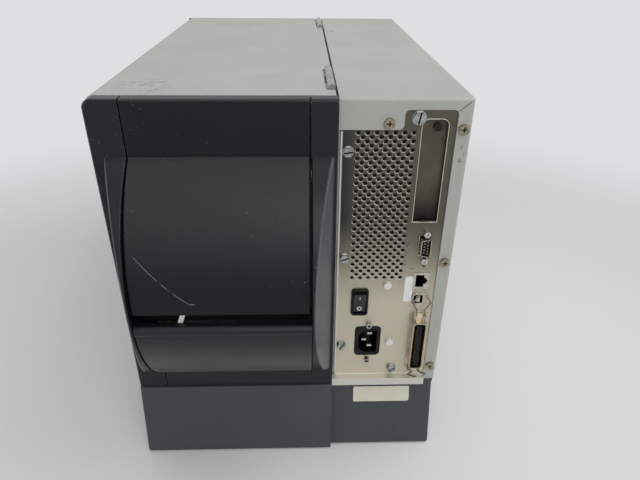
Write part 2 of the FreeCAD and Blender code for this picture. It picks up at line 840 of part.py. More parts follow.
def build_cover_panel():
    """Make the curved panel between the rails, set a little deeper than they are."""
    left = "(inner_seam + panel_inner_gap)"
    right = "(outer_seam - panel_outer_gap)"
    width = f"({right} - {left})"
    axis = (f"{BULGE_Y} + panel_shift_y", "bulge_z + panel_shift_z")
    drum = rod("panel_drum", "X", (left, *axis), "bulge_radius", width)
    core = rod("panel_core", "X", (f"{left} - 1", *axis), "bulge_radius - bulge_wall", f"{width} + 2")
    space = box("panel_space", (f"{left} - 1", f"{FACE} - moulding", "panel_low"), (f"{width} + 2", 80, 130))
    bent = common("panel_bent", cut("panel_shell", drum, core), space)
    plate = box("panel_plate", (left, f"{FACE} - moulding", "bulge_z + 98"),
                (width, "moulding", "top_height - bulge_z - 98"))
    strip = box("panel_strip", (left, "rear_plane - top_strip", "top_height - moulding"),
                (width, "cover_face + top_strip", "moulding"))
    panel = fuse("panel_whole", bent, plate, strip)
    panel = eased("panel_low_edge", panel, "edge_round",
                  lambda edge: runs(edge, "x") and near(edge, z="panel_low"))
    panel = eased("panel_top_edge", panel, "crest_round",
                  lambda edge: runs(edge, "x") and near(edge, y=FACE, z="top_height"))
    panel = eased("rear_cover_panel", panel, "groove_round",
                  lambda edge: is_arc(edge) and edge.BoundBox.YMax > value("-front_face - 9"))
    keep("rear_cover_panel", panel)


def build_lip():
    """Make the lip below the fan-fold slot, with its rolled edge and its flat foot."""
    left = "inner_seam"
    right = "(outer_seam - fit_gap * 2)"
    width = f"{right} - ({left})"
    ring = cut("lip_ring", bulge("lip_bulge", left, right),
               bulge("lip_hollow", f"{left} - 1", f"{right} + 1", "bulge_wall"))
    low = common("lip_low", ring, box("lip_space", (f"{left} - 1", f"{FACE} - moulding", "bulge_low"),
                                      (f"{width} + 2", 80, "lip_top - lip_roll - bulge_low")))
    roll_y = "-front_face - lip_roll - fit_gap"
    roll = rod("lip_roll_solid", "X", (left, roll_y, "lip_top - lip_roll"), "lip_roll", width)
    shelf = box("lip_shelf", (left, "lip_shelf_y", "lip_top - moulding"),
                (width, f"{roll_y} - lip_shelf_y", "moulding"))
    face = box("lip_face", (left, f"{FACE} - moulding", "cover_bottom_z"),
               (width, "moulding", "bulge_low - cover_bottom_z + 1"))
    lip = fuse("lip_whole", low, roll, shelf, face)
    reach = value("-front_face - 2")
    keep("fanfold_lip", eased("fanfold_lip", lip, "groove_round", lambda edge: is_arc(edge)
                              and edge.BoundBox.YMax > reach and edge.BoundBox.ZLength > 50))


def ease_rail(label, whole, seam, outer):
    """Return a rail with its crest, its groove edge and its top edge rounded."""
    crest = value("-front_face - 1")
    rail = eased(label + "_crest", whole, "crest_round",
                 lambda item: is_arc(item) and item.BoundBox.YMax > crest and item.BoundBox.XLength > 5)
    rail = eased(label + "_groove", rail, "groove_round",
                 lambda item: is_arc(item) and item.BoundBox.YMax > crest and near(item, x=seam))
    top = value("top_height")
    face = value(FACE)
    return eased(label, rail, "crest_round", lambda item: abs(item.BoundBox.YMin - face) < 0.01
                 and abs(item.BoundBox.YMax - face) < 0.01 and (abs(item.BoundBox.ZMax - top) < 0.01
                 and item.BoundBox.XLength > 5 or outer is not None and near(item, x=outer)))


def is_arc(edge):
    """Tell whether an edge is part of a circle or an ellipse."""
    return isinstance(edge.Curve, (Part.Circle, Part.Ellipse))


def corner_trim(label):
    """Return the sliver that rounds the outer top corner of the rear cover."""
    x = f"{BASE_HALF} - top_round"
    z = "top_height - top_round"
    square = box(label + "_corner", (x, "rear_plane - top_strip - 1", z),
                 ("top_round + 1", 30, "top_round + 1"))
    curve = rod(label + "_curve", "Y", (x, "rear_plane - top_strip - 2", z), "top_round", 32)
    return cut(label + "_trim", square, curve)


def build_front():
    """Make the front fascia with the label exit, and the control panel with lens and keys."""
    depth = f"{COVER_FRONT} - fit_gap - bezel_front"
    outline = frame_of("seam_x + seam_half", "door_bottom", BASE_HALF, "top_height - 1")
    fascia = pad("front_fascia", "XZ", [outline], "bezel_front", depth)
    front = value("bezel_front")
    rounded(fascia, "bezel_round", lambda edge: abs(edge.CenterOfMass.y - front) < 0.05)
    pocket(fascia, "XZ", [frame_of("seam_x + seam_half + moulding", "door_bottom + moulding",
                                   f"{BASE_HALF} - moulding", "top_height - 1 - moulding")],
           "bezel_front + moulding", f"{depth} - moulding + 1")
    pocket(fascia, "XZ", [frame_of("exit_left", "exit_low", "exit_right", "exit_high")],
           "bezel_front - 1", "moulding + 2")
    exits = [(x, z) for x in ("exit_left", "exit_right") for z in ("exit_low", "exit_high")]
    rounded(fascia, "bezel_round",
            lambda edge: runs(edge, "y") and any(near(edge, x=x, z=z) for x, z in exits))
    keep("front_fascia", fascia)
    outline = frame_of(f"-{BASE_HALF}", "cover_bottom", "seam_x - seam_half", "top_height - 1")
    panel = pad("control_panel", "XZ", [outline], "bezel_front", depth)
    rounded(panel, "bezel_round", lambda edge: abs(edge.CenterOfMass.y - front) < 0.05)
    pocket(panel, "XZ", [frame_of(f"-{BASE_HALF} + moulding", "cover_bottom + moulding",
                                  "seam_x - seam_half - moulding", "top_height - 1 - moulding")],
           "bezel_front + moulding", f"{depth} - moulding + 1")
    keys = (("cancel_key", "lens_x - key_pitch", "key_row_z"), ("feed_key", "lens_x", "key_row_z"),
            ("pause_key", "lens_x + key_pitch", "key_row_z"), ("select_key", "lens_x", "key_low_z"))
    openings = [around("lens_x", "lens_z", "lens_wide", "lens_high")]
    openings += [("circle", x, z, "key_radius + fit_gap") for _, x, z in keys]
    pocket(panel, "XZ", openings, "bezel_front - 1", "moulding + 2")
    keep("control_panel", panel)
    lens = pad("display_lens", "XZ", [around("lens_x", "lens_z", "lens_wide", "lens_high", "-port_gap")],
               "bezel_front + 0.6", "moulding - 0.6")
    keep("display_lens", lens)
    for label, x, z in keys:
        cap = rod(label + "_cap", "Y", (x, "front_face", z), "key_radius",
                  "bezel_front - front_face + moulding + 0.6")
        collar = rod(label + "_collar", "Y", (x, "bezel_front + moulding + 0.4", z), "key_flange", 1.6)
        keep(label, fuse(label, cap, collar))


def build_rear_panel():
    """Make the perforated rear panel with its openings and folded edges."""
    left = "panel_left"
    plate = pad("panel_sheet", "XZ", [frame_of("panel_right", "panel_low_z", left, "panel_high_z")],
                f"{PANEL_FACE} - sheet", "sheet")
    openings = [
        around("switch_x", "switch_z", "switch_wide", "switch_high", "-switch_lap"),
        around("inlet_x", "inlet_z", "inlet_wide", "inlet_high", "port_gap"),
        around("serial_x", "serial_z", "serial_wide", "serial_high", "port_gap + fit_gap"),
        around("network_x", "network_z", "network_wide", "network_high", "port_gap"),
        around("usb_x", "usb_z", "usb_wide", "usb_high", "port_gap"),
        around("parallel_x", "parallel_z", "parallel_mouth_wide", "parallel_mouth_high"),
        frame_of("slot_right", "slot_low", "slot_left", "slot_high"),
        ("circle", "lamp_x", "lamp_z", "lamp_radius"),
    ]
    openings += [("circle", x, z, "shank_radius + fit_gap") for x, z, *_ in HEX_SCREWS]
    openings += [("circle", x, z, "shank_radius + fit_gap") for x, z in NYLON_POSTS + COVER_SCREWS[:1]]
    openings += [("circle", "inlet_x", f"inlet_z {sign} stud_offset", "tail_hole") for sign in "+-"]
    openings += [("circle", "serial_x", f"serial_z {sign} jack_offset", "tail_hole") for sign in "+-"]
    pocket(plate, "XZ", openings, f"{PANEL_FACE} - sheet - 1", "sheet + 2")
    rounded(plate, "slot_round", lambda edge: runs(edge, "y") and near(edge, z="slot_high"))
    inlets = [(f"inlet_x {a} (inlet_wide / 2 + port_gap)", f"inlet_z {b} (inlet_high / 2 + port_gap)")
              for a in "+-" for b in "+-"]
    rounded(plate, "inlet_round + port_gap",
            lambda edge: runs(edge, "y") and any(near(edge, x=x, z=z) for x, z in inlets))
    lip = box("panel_lip_fold", (left, f"{PANEL_FACE} - sheet", "panel_low_z + 5"),
              ("sheet", "sheet + panel_lip", "flange_deep_z - panel_low_z - 6"))
    ledge = box("panel_ledge", ("panel_right + 0.8", PANEL_FACE, "panel_low_z"),
                ("ledge_left - panel_right - 0.8", "ledge_out", "sheet"))
    drop_edge = box("panel_ledge_lip",
                    ("panel_right + 0.8", f"{PANEL_FACE} + ledge_out - sheet", "panel_low_z - ledge_drop"),
                    ("ledge_left - panel_right - 0.8", "sheet", "ledge_drop + 0.5"))
    vented = cut("panel_vented", plate, drawn("vent_holes", vent_shape()))
    keep("rear_panel", fuse("rear_panel", vented, lip, ledge, drop_edge))
    build_slot_cover()


def vent_shape():
    """Return the round cutters of the vent: rows at an even pitch, every second one set over."""
    holes = []
    rows = int(value("vent_rows"))
    columns = int(value("vent_columns"))
    pitch = (value("vent_right") - value("vent_left")) / (columns - 1)
    drop = (value("vent_top") - value("vent_bottom")) / (rows - 1)
    for row in range(rows):
        odd = row % 2
        for column in range(columns - odd):
            at = Vector(value("vent_left") + pitch * (column + odd / 2), value(f"{PANEL_FACE} - sheet - 1"),
                        value("vent_top") - drop * row)
            holes.append(Part.makeCylinder(value("vent_radius"), value("sheet + 2"), at, Vector(0, 1, 0)))
    return Part.makeCompound(holes)


def build_slot_cover():
    """Make the blank behind the option slot, with its hooked tab and the head of its screw."""
    behind = f"{PANEL_FACE} - sheet - slot_sink"
    outline = frame_of("slot_right - slot_lap", "slot_low - slot_lap", "slot_left + 0.6", "slot_high + 4")
    blank = pad("slot_blank", "XZ", [outline], f"{behind} - sheet", "sheet")
    tab_x = "(slot_left + slot_right - slot_tab_wide) / 2"
    tab = box("slot_tab", (tab_x, f"{behind} - 0.2", "slot_low + 0.6"),
              ("slot_tab_wide", "sheet + slot_sink + 0.6", 1.4))
    knob = rod("slot_screw", "Y", ("slot_right + 7.4", f"{behind} - 0.2", "slot_high - 6"),
               "slot_knob", "slot_knob_out")
    keep("option_slot_cover", fuse("option_slot_cover", blank, tab, knob))


def build_power():
    """Make the power switch and its rocker, then the mains inlet."""
    housing = pad("switch_rim", "XZ", [around("switch_x", "switch_z", "switch_wide", "switch_high")],
                  PANEL_FACE, "switch_bezel")
    rounded(housing, "switch_round", lambda edge: runs(edge, "y"))
    front = value(f"{PANEL_FACE} + switch_bezel")
    rounded(housing, 0.9, lambda edge: abs(edge.CenterOfMass.y - front) < 0.02)
    body = box("switch_body_block",
               ("switch_x - switch_wide / 2 + switch_inset", f"{PANEL_FACE} - switch_body",
                "switch_z - switch_high / 2 + switch_inset"),
               ("switch_wide - switch_inset * 2", "switch_body + 0.5", "switch_high - switch_inset * 2"))
    well = box("switch_well_block",
               ("switch_x - rocker_wide / 2 - fit_gap", f"{PANEL_FACE} - switch_well",
                "switch_z - rocker_well / 2"),
               ("rocker_wide + fit_gap * 2", 30, "rocker_well"))
    keep("power_switch_housing", cut("power_switch_housing", fuse("switch_solid", housing, body), well))
    rocker = pad("power_rocker", "YZ", [[
        (-4, "-rocker_high / 2 + 3"),
        (1.5, "-rocker_high / 2"),
        (4.6, "-rocker_high / 2"),
        (3.2, 0),
        (4.6, "rocker_high / 2"),
        (1.5, "rocker_high / 2"),
        (-4, "rocker_high / 2 - 3"),
    ]], "-rocker_wide / 2", "rocker_wide")
    rounded(rocker, 0.5, lambda edge: runs(edge, "x") and abs(edge.CenterOfMass.y - 4.6) < 0.02)
    place(rocker, ("switch_x", f"{PANEL_FACE} - rocker_pivot", "switch_z"),
          Rotation(Vector(1, 0, 0), -value("rocker_tilt")))
    keep("power_rocker", rocker)
    build_inlet()


def build_inlet():
    """Make the mains inlet with its three blades and the two studs beside it."""
    inlet = pad("mains_inlet", "XZ", [around("inlet_x", "inlet_z", "inlet_wide", "inlet_high")],
                f"{PANEL_FACE} - inlet_deep", "inlet_deep + inlet_proud")
    rounded(inlet, "inlet_round", lambda edge: runs(edge, "y"))
    mouth = value(f"{PANEL_FACE} + inlet_proud")
    rounded(inlet, 0.7, lambda edge: abs(edge.CenterOfMass.y - mouth) < 0.02)
    pocket(inlet, "XZ", [[
        ("inlet_x - well_wide / 2", "inlet_z - well_high / 2"),
        ("inlet_x + well_wide / 2 - well_chamfer", "inlet_z - well_high / 2"),
        ("inlet_x + well_wide / 2", "inlet_z - well_high / 2 + well_chamfer"),
        ("inlet_x + well_wide / 2", "inlet_z + well_high / 2 - well_chamfer"),
        ("inlet_x + well_wide / 2 - well_chamfer", "inlet_z + well_high / 2"),
        ("inlet_x - well_wide / 2", "inlet_z + well_high / 2"),
    ]], f"{PANEL_FACE} + inlet_proud - well_deep", "well_deep + 1")
    keep("mains_inlet", inlet)
    blades = []
    foot = f"{PANEL_FACE} + inlet_proud - well_deep"
    for x, z in (("inlet_x + 3", "inlet_z"), ("inlet_x - 2", "inlet_z + pin_pitch"),
                 ("inlet_x - 2", "inlet_z - pin_pitch")):
        blades.append(box("blade", (f"{x} - pin_wide / 2", foot, f"{z} - pin_thick / 2"),
                          ("pin_wide", "pin_reach", "pin_thick")))
    keep("mains_inlet_pins", group("mains_inlet_pins", *blades))
    studs = []
    for sign in "+-":
        z = f"inlet_z {sign} stud_offset"
        post = rod("stud_post", "Y", ("inlet_x", PANEL_FACE, z), "stud_radius", "stud_out")
        tail = rod("stud_tail", "Y", ("inlet_x", f"{PANEL_FACE} - tail_long", z),
                   "tail_radius", "tail_long + 1")
        bore = rod("stud_bore", "Y", ("inlet_x", f"{PANEL_FACE} + stud_out - 2", z), 1.2, 4)
        studs.append(cut("stud", fuse("stud_solid", post, tail), bore))
    keep("inlet_studs", group("inlet_studs", *studs))


def dee(reach, lean):
    """Return the outline of the serial plug's shell, grown by the reach."""
    half = f"(serial_wide / 2 + {reach})"
    tall = f"(serial_high / 2 + {reach})"
    return [
        (f"serial_x - {half}", f"serial_z - {tall}"),
        (f"serial_x + {half}", f"serial_z - {tall} + {lean}"),
        (f"serial_x + {half}", f"serial_z + {tall} - {lean}"),
        (f"serial_x - {half}", f"serial_z + {tall}"),
    ]


def build_ports():
    """Make the serial, network, USB and parallel ports with the parallel port's wire bails."""
    shell = pad("serial_port_shell", "XZ", [dee("0", 1.5)], PANEL_FACE + " - 6", "serial_out + 6")
    rounded(shell, 1.8, lambda edge: edge.Vertexes[0].Point.y != edge.Vertexes[1].Point.y)
    pocket(shell, "XZ", [dee("-0.7", 1.4)], PANEL_FACE + " - 7", "serial_out + 9")
    keep("serial_port_shell", shell)
    insert = pad("serial_port_insert", "XZ", [dee("-1.6", 1.2)], PANEL_FACE + " - 6", "serial_out + 5.2")
    holes = []
    for sign, steps in (("-", (-2, -1, 0, 1, 2)), ("+", (-1.5, -0.5, 0.5, 1.5))):
        for step in steps:
            holes.append(("circle", f"serial_x {sign} contact_row", f"serial_z + {step} * contact_pitch",
                          "contact_radius"))
    pocket(insert, "XZ", holes, PANEL_FACE + " + serial_out - 4", 8)
    keep("serial_port_insert", insert)
    jacks = []
    for sign in "+-":
        z = f"serial_z {sign} jack_offset"
        post = hexagon("jack_post", "Y", ("serial_x", PANEL_FACE, z), "jack_radius", "serial_out")
        tail = rod("jack_tail", "Y", ("serial_x", f"{PANEL_FACE} - tail_long", z),
                   "tail_radius", "tail_long + 1")
        bore = rod("jack_bore", "Y", ("serial_x", f"{PANEL_FACE} + serial_out - 3", z), 1.4, 5)
        jacks.append(cut("jack", fuse("jack_solid", post, tail), bore))
    keep("serial_jackscrews", group("serial_jackscrews", *jacks))
    jack = pad("network_jack", "XZ", [around("network_x", "network_z", "network_wide", "network_high")],
               PANEL_FACE + " - network_deep", "network_deep + 0.6")
    pocket(jack, "XZ", [[
        ("network_x + 4.6", "network_z - 5.9"), ("network_x + 4.6", "network_z + 5.9"),
        ("network_x - 2.4", "network_z + 5.9"), ("network_x - 2.4", "network_z + 3"),
        ("network_x - 4.2", "network_z + 3"), ("network_x - 4.2", "network_z + 1.6"),
        ("network_x - 5.4", "network_z + 1.6"), ("network_x - 5.4", "network_z - 1.6"),
        ("network_x - 4.2", "network_z - 1.6"), ("network_x - 4.2", "network_z - 3"),
        ("network_x - 2.4", "network_z - 3"), ("network_x - 2.4", "network_z - 5.9"),
    ]], PANEL_FACE + " + 0.6 - network_well", "network_well + 1")
    keep("network_jack", jack)
    usb = pad("usb_port", "XZ", [around("usb_x", "usb_z", "usb_wide", "usb_high")],
              PANEL_FACE + " - usb_deep", "usb_deep + 0.6")
    pocket(usb, "XZ", [[
        ("usb_x - 3.9", "usb_z - 4.2"), ("usb_x + 2.4", "usb_z - 4.2"), ("usb_x + 3.9", "usb_z - 2.8"),
        ("usb_x + 3.9", "usb_z + 2.8"), ("usb_x + 2.4", "usb_z + 4.2"), ("usb_x - 3.9", "usb_z + 4.2"),
    ], around("usb_x", "usb_z", 3.2, 5.6)], PANEL_FACE + " + 0.6 - usb_well", "usb_well + 1")
    keep("usb_port", usb)
    build_parallel()


def build_parallel():
    """Make the wide parallel port: plate and shell, contact tongue and two wire bails."""
    plate = pad("parallel_plate", "XZ", [around("parallel_x", "parallel_z", "plate_wide", "plate_high")],
                PANEL_FACE, "plate_thick")
    rounded(plate, 3, lambda edge: runs(edge, "y"))
    tube = pad("parallel_tube", "XZ", [around("parallel_x", "parallel_z", "parallel_wide", "parallel_high")],
               PANEL_FACE, "parallel_out")
    rounded(tube, "parallel_round", lambda edge: runs(edge, "y"))
    mouth = around("parallel_x", "parallel_z", "parallel_wide", "parallel_high", "-parallel_wall")
    well = pad("parallel_well", "XZ", [mouth], PANEL_FACE + " - 1", "parallel_out + 2")
    rounded(well, "parallel_round - parallel_wall + 0.1", lambda edge: runs(edge, "y"))
    ears = []
    bores = []
    for sign in "+-":
        z = f"parallel_z {sign} bail_offset"
        for side in (-1, 1):
            x = f"parallel_x + {side} * (bail_leg + 1.8) - 0.5"
            ears.append(box("bail_ear", (x, PANEL_FACE, f"{z} - 1.7"), (1, "bail_out + 1.8", 3.4)))
        bores.append(rod("bail_bore", "X", ("parallel_x - 9", f"{PANEL_FACE} + bail_out", z),
                         "bail_wire + 0.06", 18))
    shell = fuse("parallel_solid", plate, tube, *ears)
    keep("parallel_port_shell", cut("parallel_port_shell", shell, well, *bores))
    block = pad("parallel_block", "XZ", [around("parallel_x", "parallel_z", "block_wide", "block_high")],
                PANEL_FACE + " - 8", "9.2")
    rounded(block, 2.6, lambda edge: runs(edge, "y"))
    tongue = box("parallel_tongue",
                 ("parallel_x - tongue_wide / 2", PANEL_FACE, "parallel_z - tongue_high / 2"),
                 ("tongue_wide", "parallel_out - 1", "tongue_high"))
    keep("parallel_port_insert", fuse("parallel_port_insert", block, tongue))
    for label, sign, lean in (("upper_bail", "+", 90.0), ("lower_bail", "-", value("bail_lift"))):
        keep(label, drawn(label, bail_shape(f"parallel_z {sign} bail_offset", lean)))


def bail_shape(z, lean):
    """Return a closed wire bail swung to the given angle above the horizontal."""
    leg = value("bail_leg")
    flare = value("bail_flare")
    long = value("bail_long")
    wire = value("bail_wire")
    hook = leg + 2.6
    path = [(-hook, 0), (-leg, 0), (-leg, long * 0.3), (-flare, long * 0.62), (-2.4, long), (2.4, long),
            (flare, long * 0.62), (leg, long * 0.3), (leg, 0), (hook, 0)]
    pieces = []
    for (x0, d0), (x1, d1) in zip(path, path[1:]):
        start = Vector(x0, d0, 0)
        span = Vector(x1 - x0, d1 - d0, 0)
        pieces.append(Part.makeCylinder(wire, span.Length, start, span))
    pieces += [Part.makeSphere(wire, Vector(x, d, 0)) for x, d in path[1:-1]]
    solid = pieces[0].fuse(pieces[1:]).removeSplitter()
    solid.rotate(Vector(), Vector(1, 0, 0), lean)
    solid.translate(Vector(value("parallel_x"), value(f"{PANEL_FACE} + bail_out"), value(z)))
    return solid


def build_fasteners():
    """Make the slotted hex screws, the cross-head cover screws and the nylon posts."""
    hexes = []
    for x, z, radius, turn in HEX_SCREWS:
        head = hexagon("hex_head", "Y", (x, f"{PANEL_FACE} + 0.8", z), radius, "hex_high - 0.8")
        washer = rod("hex_washer", "Y", (x, PANEL_FACE, z), f"{radius} + 0.4", "washer")
        shank = rod("hex_shank", "Y", (x, f"{PANEL_FACE} - shank_long", z), "shank_radius", "shank_long + 1")
        whole = fuse("hex_solid", head, washer, shank)
        hexes.append(cut("hex_screw", whole, screwdriver_slot(x, z, turn)))
    keep("panel_screws", group("panel_screws", *hexes))
    pans = []
    floor = "rear_plane + pan_high - cross_deep"
    for x, z in COVER_SCREWS:
        head = rod("pan_head", "Y", (x, "rear_plane", z), "pan_radius", "pan_high")
        shank = rod("pan_shank", "Y", (x, f"{PANEL_FACE} - 0.9", z), "shank_radius", "panel_back + 1.2")
        bars = []
        for wide, high in (("cross_long", "cross_wide"), ("cross_wide", "cross_long")):
            bars.append(box("pan_bar", (f"{x} - {wide} / 2", floor, f"{z} - {high} / 2"), (wide, 3, high)))
        pans.append(cut("pan_screw", fuse("pan_solid", head, shank), *bars))
    keep("cover_screws", group("cover_screws", *pans))
    posts = []
    for x, z in NYLON_POSTS:
        tip = rod("post_tip", "Y", (x, PANEL_FACE, z), "post_radius", "post_out")
        shank = rod("post_shank", "Y", (x, f"{PANEL_FACE} - post_deep", z), "shank_radius", "post_deep + 1")
        posts.append(fuse("nylon_post", tip, shank))
    keep("nylon_posts", group("nylon_posts", *posts))


def screwdriver_slot(x, z, turn):
    """Return the cutter of the slot across a panel screw, turned by so many degrees about the screw."""
    angle = math.radians(turn)
    reach = value("hex_big + 2")
    half = value("screw_slot / 2")
    along = reach * math.cos(angle) + half * math.sin(angle)
    rise = reach * math.sin(angle) - half * math.cos(angle)
    low = (f"{x} - {along:.6f}", f"{PANEL_FACE} + hex_high - screw_depth", f"{z} + ({rise:.6f})")
    return box("hex_slot", low, (2 * reach, "screw_depth + 1", "screw_slot"), Rotation(Vector(0, 1, 0), turn))


def build_wall_and_boards():
    """Make the chassis wall between the bays, the two circuit boards and the pillars that hold them."""
    wall = pad("chassis_wall", "YZ", [frame_of("wall_front", "board_deck", "wall_rear", "wall_top")],
               "wall_x", "wall_thick")
    pocket(wall, "YZ", [
        ("circle", "platen_y", "platen_z", "bearing_radius"),
        ("circle", "takeup_y", "takeup_z", "shaft_radius + bearing_fit"),
        ("circle", "supply_y", "supply_z", "shaft_radius + bearing_fit"),
        ("circle", "head_y", "head_z", "trunnion + bearing_fit"),
        ("circle", "dancer_y", "dancer_z", "trunnion + bearing_fit"),
    ], "wall_x - 1", "wall_thick + 2")
    keep("chassis_wall", wall)
    board = box("logic_sheet", ("board_x", "board_y", "board_z"), ("board_thick", "board_long", "board_high"))
    face = "board_x + board_thick"
    chips = []
    for y, z, long, high, tall in LOGIC_CHIPS:
        chips.append(box("logic_chip", (f"{face} - fit_gap", y, z), (f"{tall} + fit_gap", long, high)))
    keep("logic_board", fuse("logic_board", board, *chips))
    supply = box("supply_sheet", ("supply_x", 0, "board_z"), ("board_thick", "supply_long", "supply_high"))
    lumps = []
    for y, z, long, high, tall in SUPPLY_LUMPS:
        lumps.append(box("supply_lump", (f"supply_x - {tall}", y, z), (f"{tall} + fit_gap", long, high)))
    cans = []
    for y, z in SUPPLY_CANS:
        cans.append(rod("supply_can", "X", ("supply_x - can_long", y, z), "can_radius", "can_long + fit_gap"))
    keep("power_supply_board", fuse("power_supply_board", supply, *lumps, *cans))
    pillars = []
    for y in (12, 132):
        for z in (88, 188):
            pillars.append(rod("supply_pillar", "X", ("supply_x + board_thick", y, z), 3,
                               "wall_x - supply_x - board_thick"))
    for y in (14, 154):
        for z in (206, 298):
            pillars.append(hexagon("logic_pillar", "X", (face, y, z), 3.5, f"wall_x - ({face})"))
    for side in (-1, 1):
        for rise in (-1, 1):
            at = ("motor_face", f"motor_y + {side} * motor_bolt", f"motor_z + {rise} * motor_bolt")
            pillars.append(rod("motor_pillar", "X", at, 3.4, "wall_x - motor_face"))
    keep("support_pillars", group("support_pillars", *pillars))


def pulley(name, y, z, radius, extra):
    """Return a flanged belt pulley with further turned lengths on the same axis, as one body."""
    rim = f"{radius} + belt_thick + 1"
    low = "belt_x - pulley_flange - 0.4"
    high = "belt_x + belt_wide + 0.4"
    outline = [(low, 0), (low, rim), (f"{low} + pulley_flange", rim), (f"{low} + pulley_flange", radius),
               (high, radius), (high, rim), (f"{high} + pulley_flange", rim)]
    return turned(name, outline + extra(f"{high} + pulley_flange"), y, z)


def belt_shape():
    """Return the flat drive belt that runs round the three pulleys."""
    wheels = [(value("platen_y"), value("platen_z"), value("platen_pulley_r")),
              (value("motor_y"), value("motor_z"), value("motor_pulley_r")),
              (value("takeup_y"), value("takeup_z"), value("takeup_pulley_r"))]
    faces = []
    for grow in (value("belt_clear"), value("belt_clear + belt_thick")):
        faces.append(Part.Face(loop_round([(y, z, radius + grow) for y, z, radius in wheels])))
    ring = faces[1].cut(faces[0])
    belt = ring.extrude(Vector(value("belt_wide"), 0, 0))
    belt.translate(Vector(value("belt_x"), 0, 0))
    return belt


def loop_round(wheels):
    """Return the closed wire that wraps the wheels, each given as y, z and radius, counter-clockwise."""
    touches = []
    for (y0, z0, r0), (y1, z1, r1) in zip(wheels, wheels[1:] + wheels[:1]):
        gap = math.hypot(y1 - y0, z1 - z0)
        heading = math.atan2(z1 - z0, y1 - y0) - math.acos((r0 - r1) / gap)
        side = (math.cos(heading), math.sin(heading))
        touches.append(((y0 + r0 * side[0], z0 + r0 * side[1]), (y1 + r1 * side[0], z1 + r1 * side[1])))
    edges = []
    for index, (leave, arrive) in enumerate(touches):
        edges.append(Part.makeLine(Vector(0, *leave), Vector(0, *arrive)))
        y, z, radius = wheels[(index + 1) % len(wheels)]
        onward = touches[(index + 1) % len(touches)][0]
        first = math.atan2(arrive[1] - z, arrive[0] - y)
        sweep = (math.atan2(onward[1] - z, onward[0] - y) - first) % (2 * math.pi)
        half = first + sweep / 2
        middle = Vector(0, y + radius * math.cos(half), z + radius * math.sin(half))
        edges.append(Part.Arc(Vector(0, *arrive), middle, Vector(0, *onward)).toShape())
    return Part.Wire(edges)


def build_drive():
    """Make the platen with its shaft, bearings and pulley, the stepper motor, and the belt."""
    keep("platen_roller", turned("platen_roller", [
        ("platen_left", "shaft_radius"), ("platen_right", "shaft_radius"),
        ("platen_right", "platen_radius"), ("platen_left", "platen_radius")], "platen_y", "platen_z"))
    keep("platen_shaft", turned("platen_shaft", [
        ("belt_x - 3", 0), ("frame_x + frame_thick + 1", 0), ("frame_x + frame_thick + 1", "shaft_radius"),
        ("belt_x - 3", "shaft_radius")], "platen_y", "platen_z"))
    rings = []
    for x, width in (("wall_x", "wall_thick"), ("frame_x", "frame_thick")):
        body = rod("bearing_body", "X", (x, "platen_y", "platen_z"), "bearing_radius", width)
        bore = rod("bearing_bore", "X", (f"{x} - 1", "platen_y", "platen_z"),
                   "shaft_radius + bearing_fit", f"{width} + 2")
        rings.append(cut("bearing", body, bore))
    keep("platen_bearings", group("platen_bearings", *rings))
    wheel = pulley("platen_wheel", "platen_y", "platen_z", "platen_pulley_r", lambda end: [(end, 0)])
    bore = rod("platen_wheel_bore", "X", ("belt_x - 6", "platen_y", "platen_z"), "shaft_radius", 30)
    keep("platen_pulley", cut("platen_pulley", wheel, bore))
    block = pad("motor_block", "YZ", [around("motor_y", "motor_z", "motor_side", "motor_side")],
                "motor_face - motor_long", "motor_long")
    rounded(block, 4, lambda edge: runs(edge, "x"))
    pilot = rod("motor_pilot", "X", ("motor_face - 1", "motor_y", "motor_z"), 19, 2.6)
    bore = rod("motor_bore", "X", ("motor_face - 12", "motor_y", "motor_z"),
               "motor_shaft + bearing_fit", 20)
    keep("drive_motor", cut("drive_motor", fuse("motor_solid", block, pilot), bore))
    wheel = pulley("motor_wheel", "motor_y", "motor_z", "motor_pulley_r", lambda end: [(end, 0)])
    shaft = rod("motor_shaft_rod", "X", ("motor_face - 11", "motor_y", "motor_z"), "motor_shaft", 14)
    keep("motor_pulley", fuse("motor_pulley", wheel, shaft))
    keep("drive_belt", drawn("drive_belt", belt_shape()))


def spindle(label, y, z, start):
    """Make a ribbon spindle: journal through the wall, flange, core barrel and three grip fins."""
    barrel = turned(label + "_barrel", start + [
        ("wall_x + wall_thick + 0.6", "shaft_radius"), ("wall_x + wall_thick + 0.6", "core_radius + 14"),
        ("wall_x + wall_thick + 2.6", "core_radius + 14"), ("wall_x + wall_thick + 2.6", "core_radius"),
        ("spindle_end - 2", "core_radius"), ("spindle_end", "core_radius - 2"), ("spindle_end", 0)], y, z)
    fins = []
    for turn in (90, 210, 330):
        across = f"{y} + (core_radius - 1) * {math.cos(math.radians(turn))}"
        rise = f"{z} + (core_radius - 1) * {math.sin(math.radians(turn))}"
        fins.append(box(label + "_fin", ("wall_x + wall_thick + 8", across, rise),
                        ("spindle_end - wall_x - wall_thick - 16", "fin_high + 1", 5),
                        Rotation(Vector(1, 0, 0), turn)))
    keep(label, fuse(label, barrel, *fins))


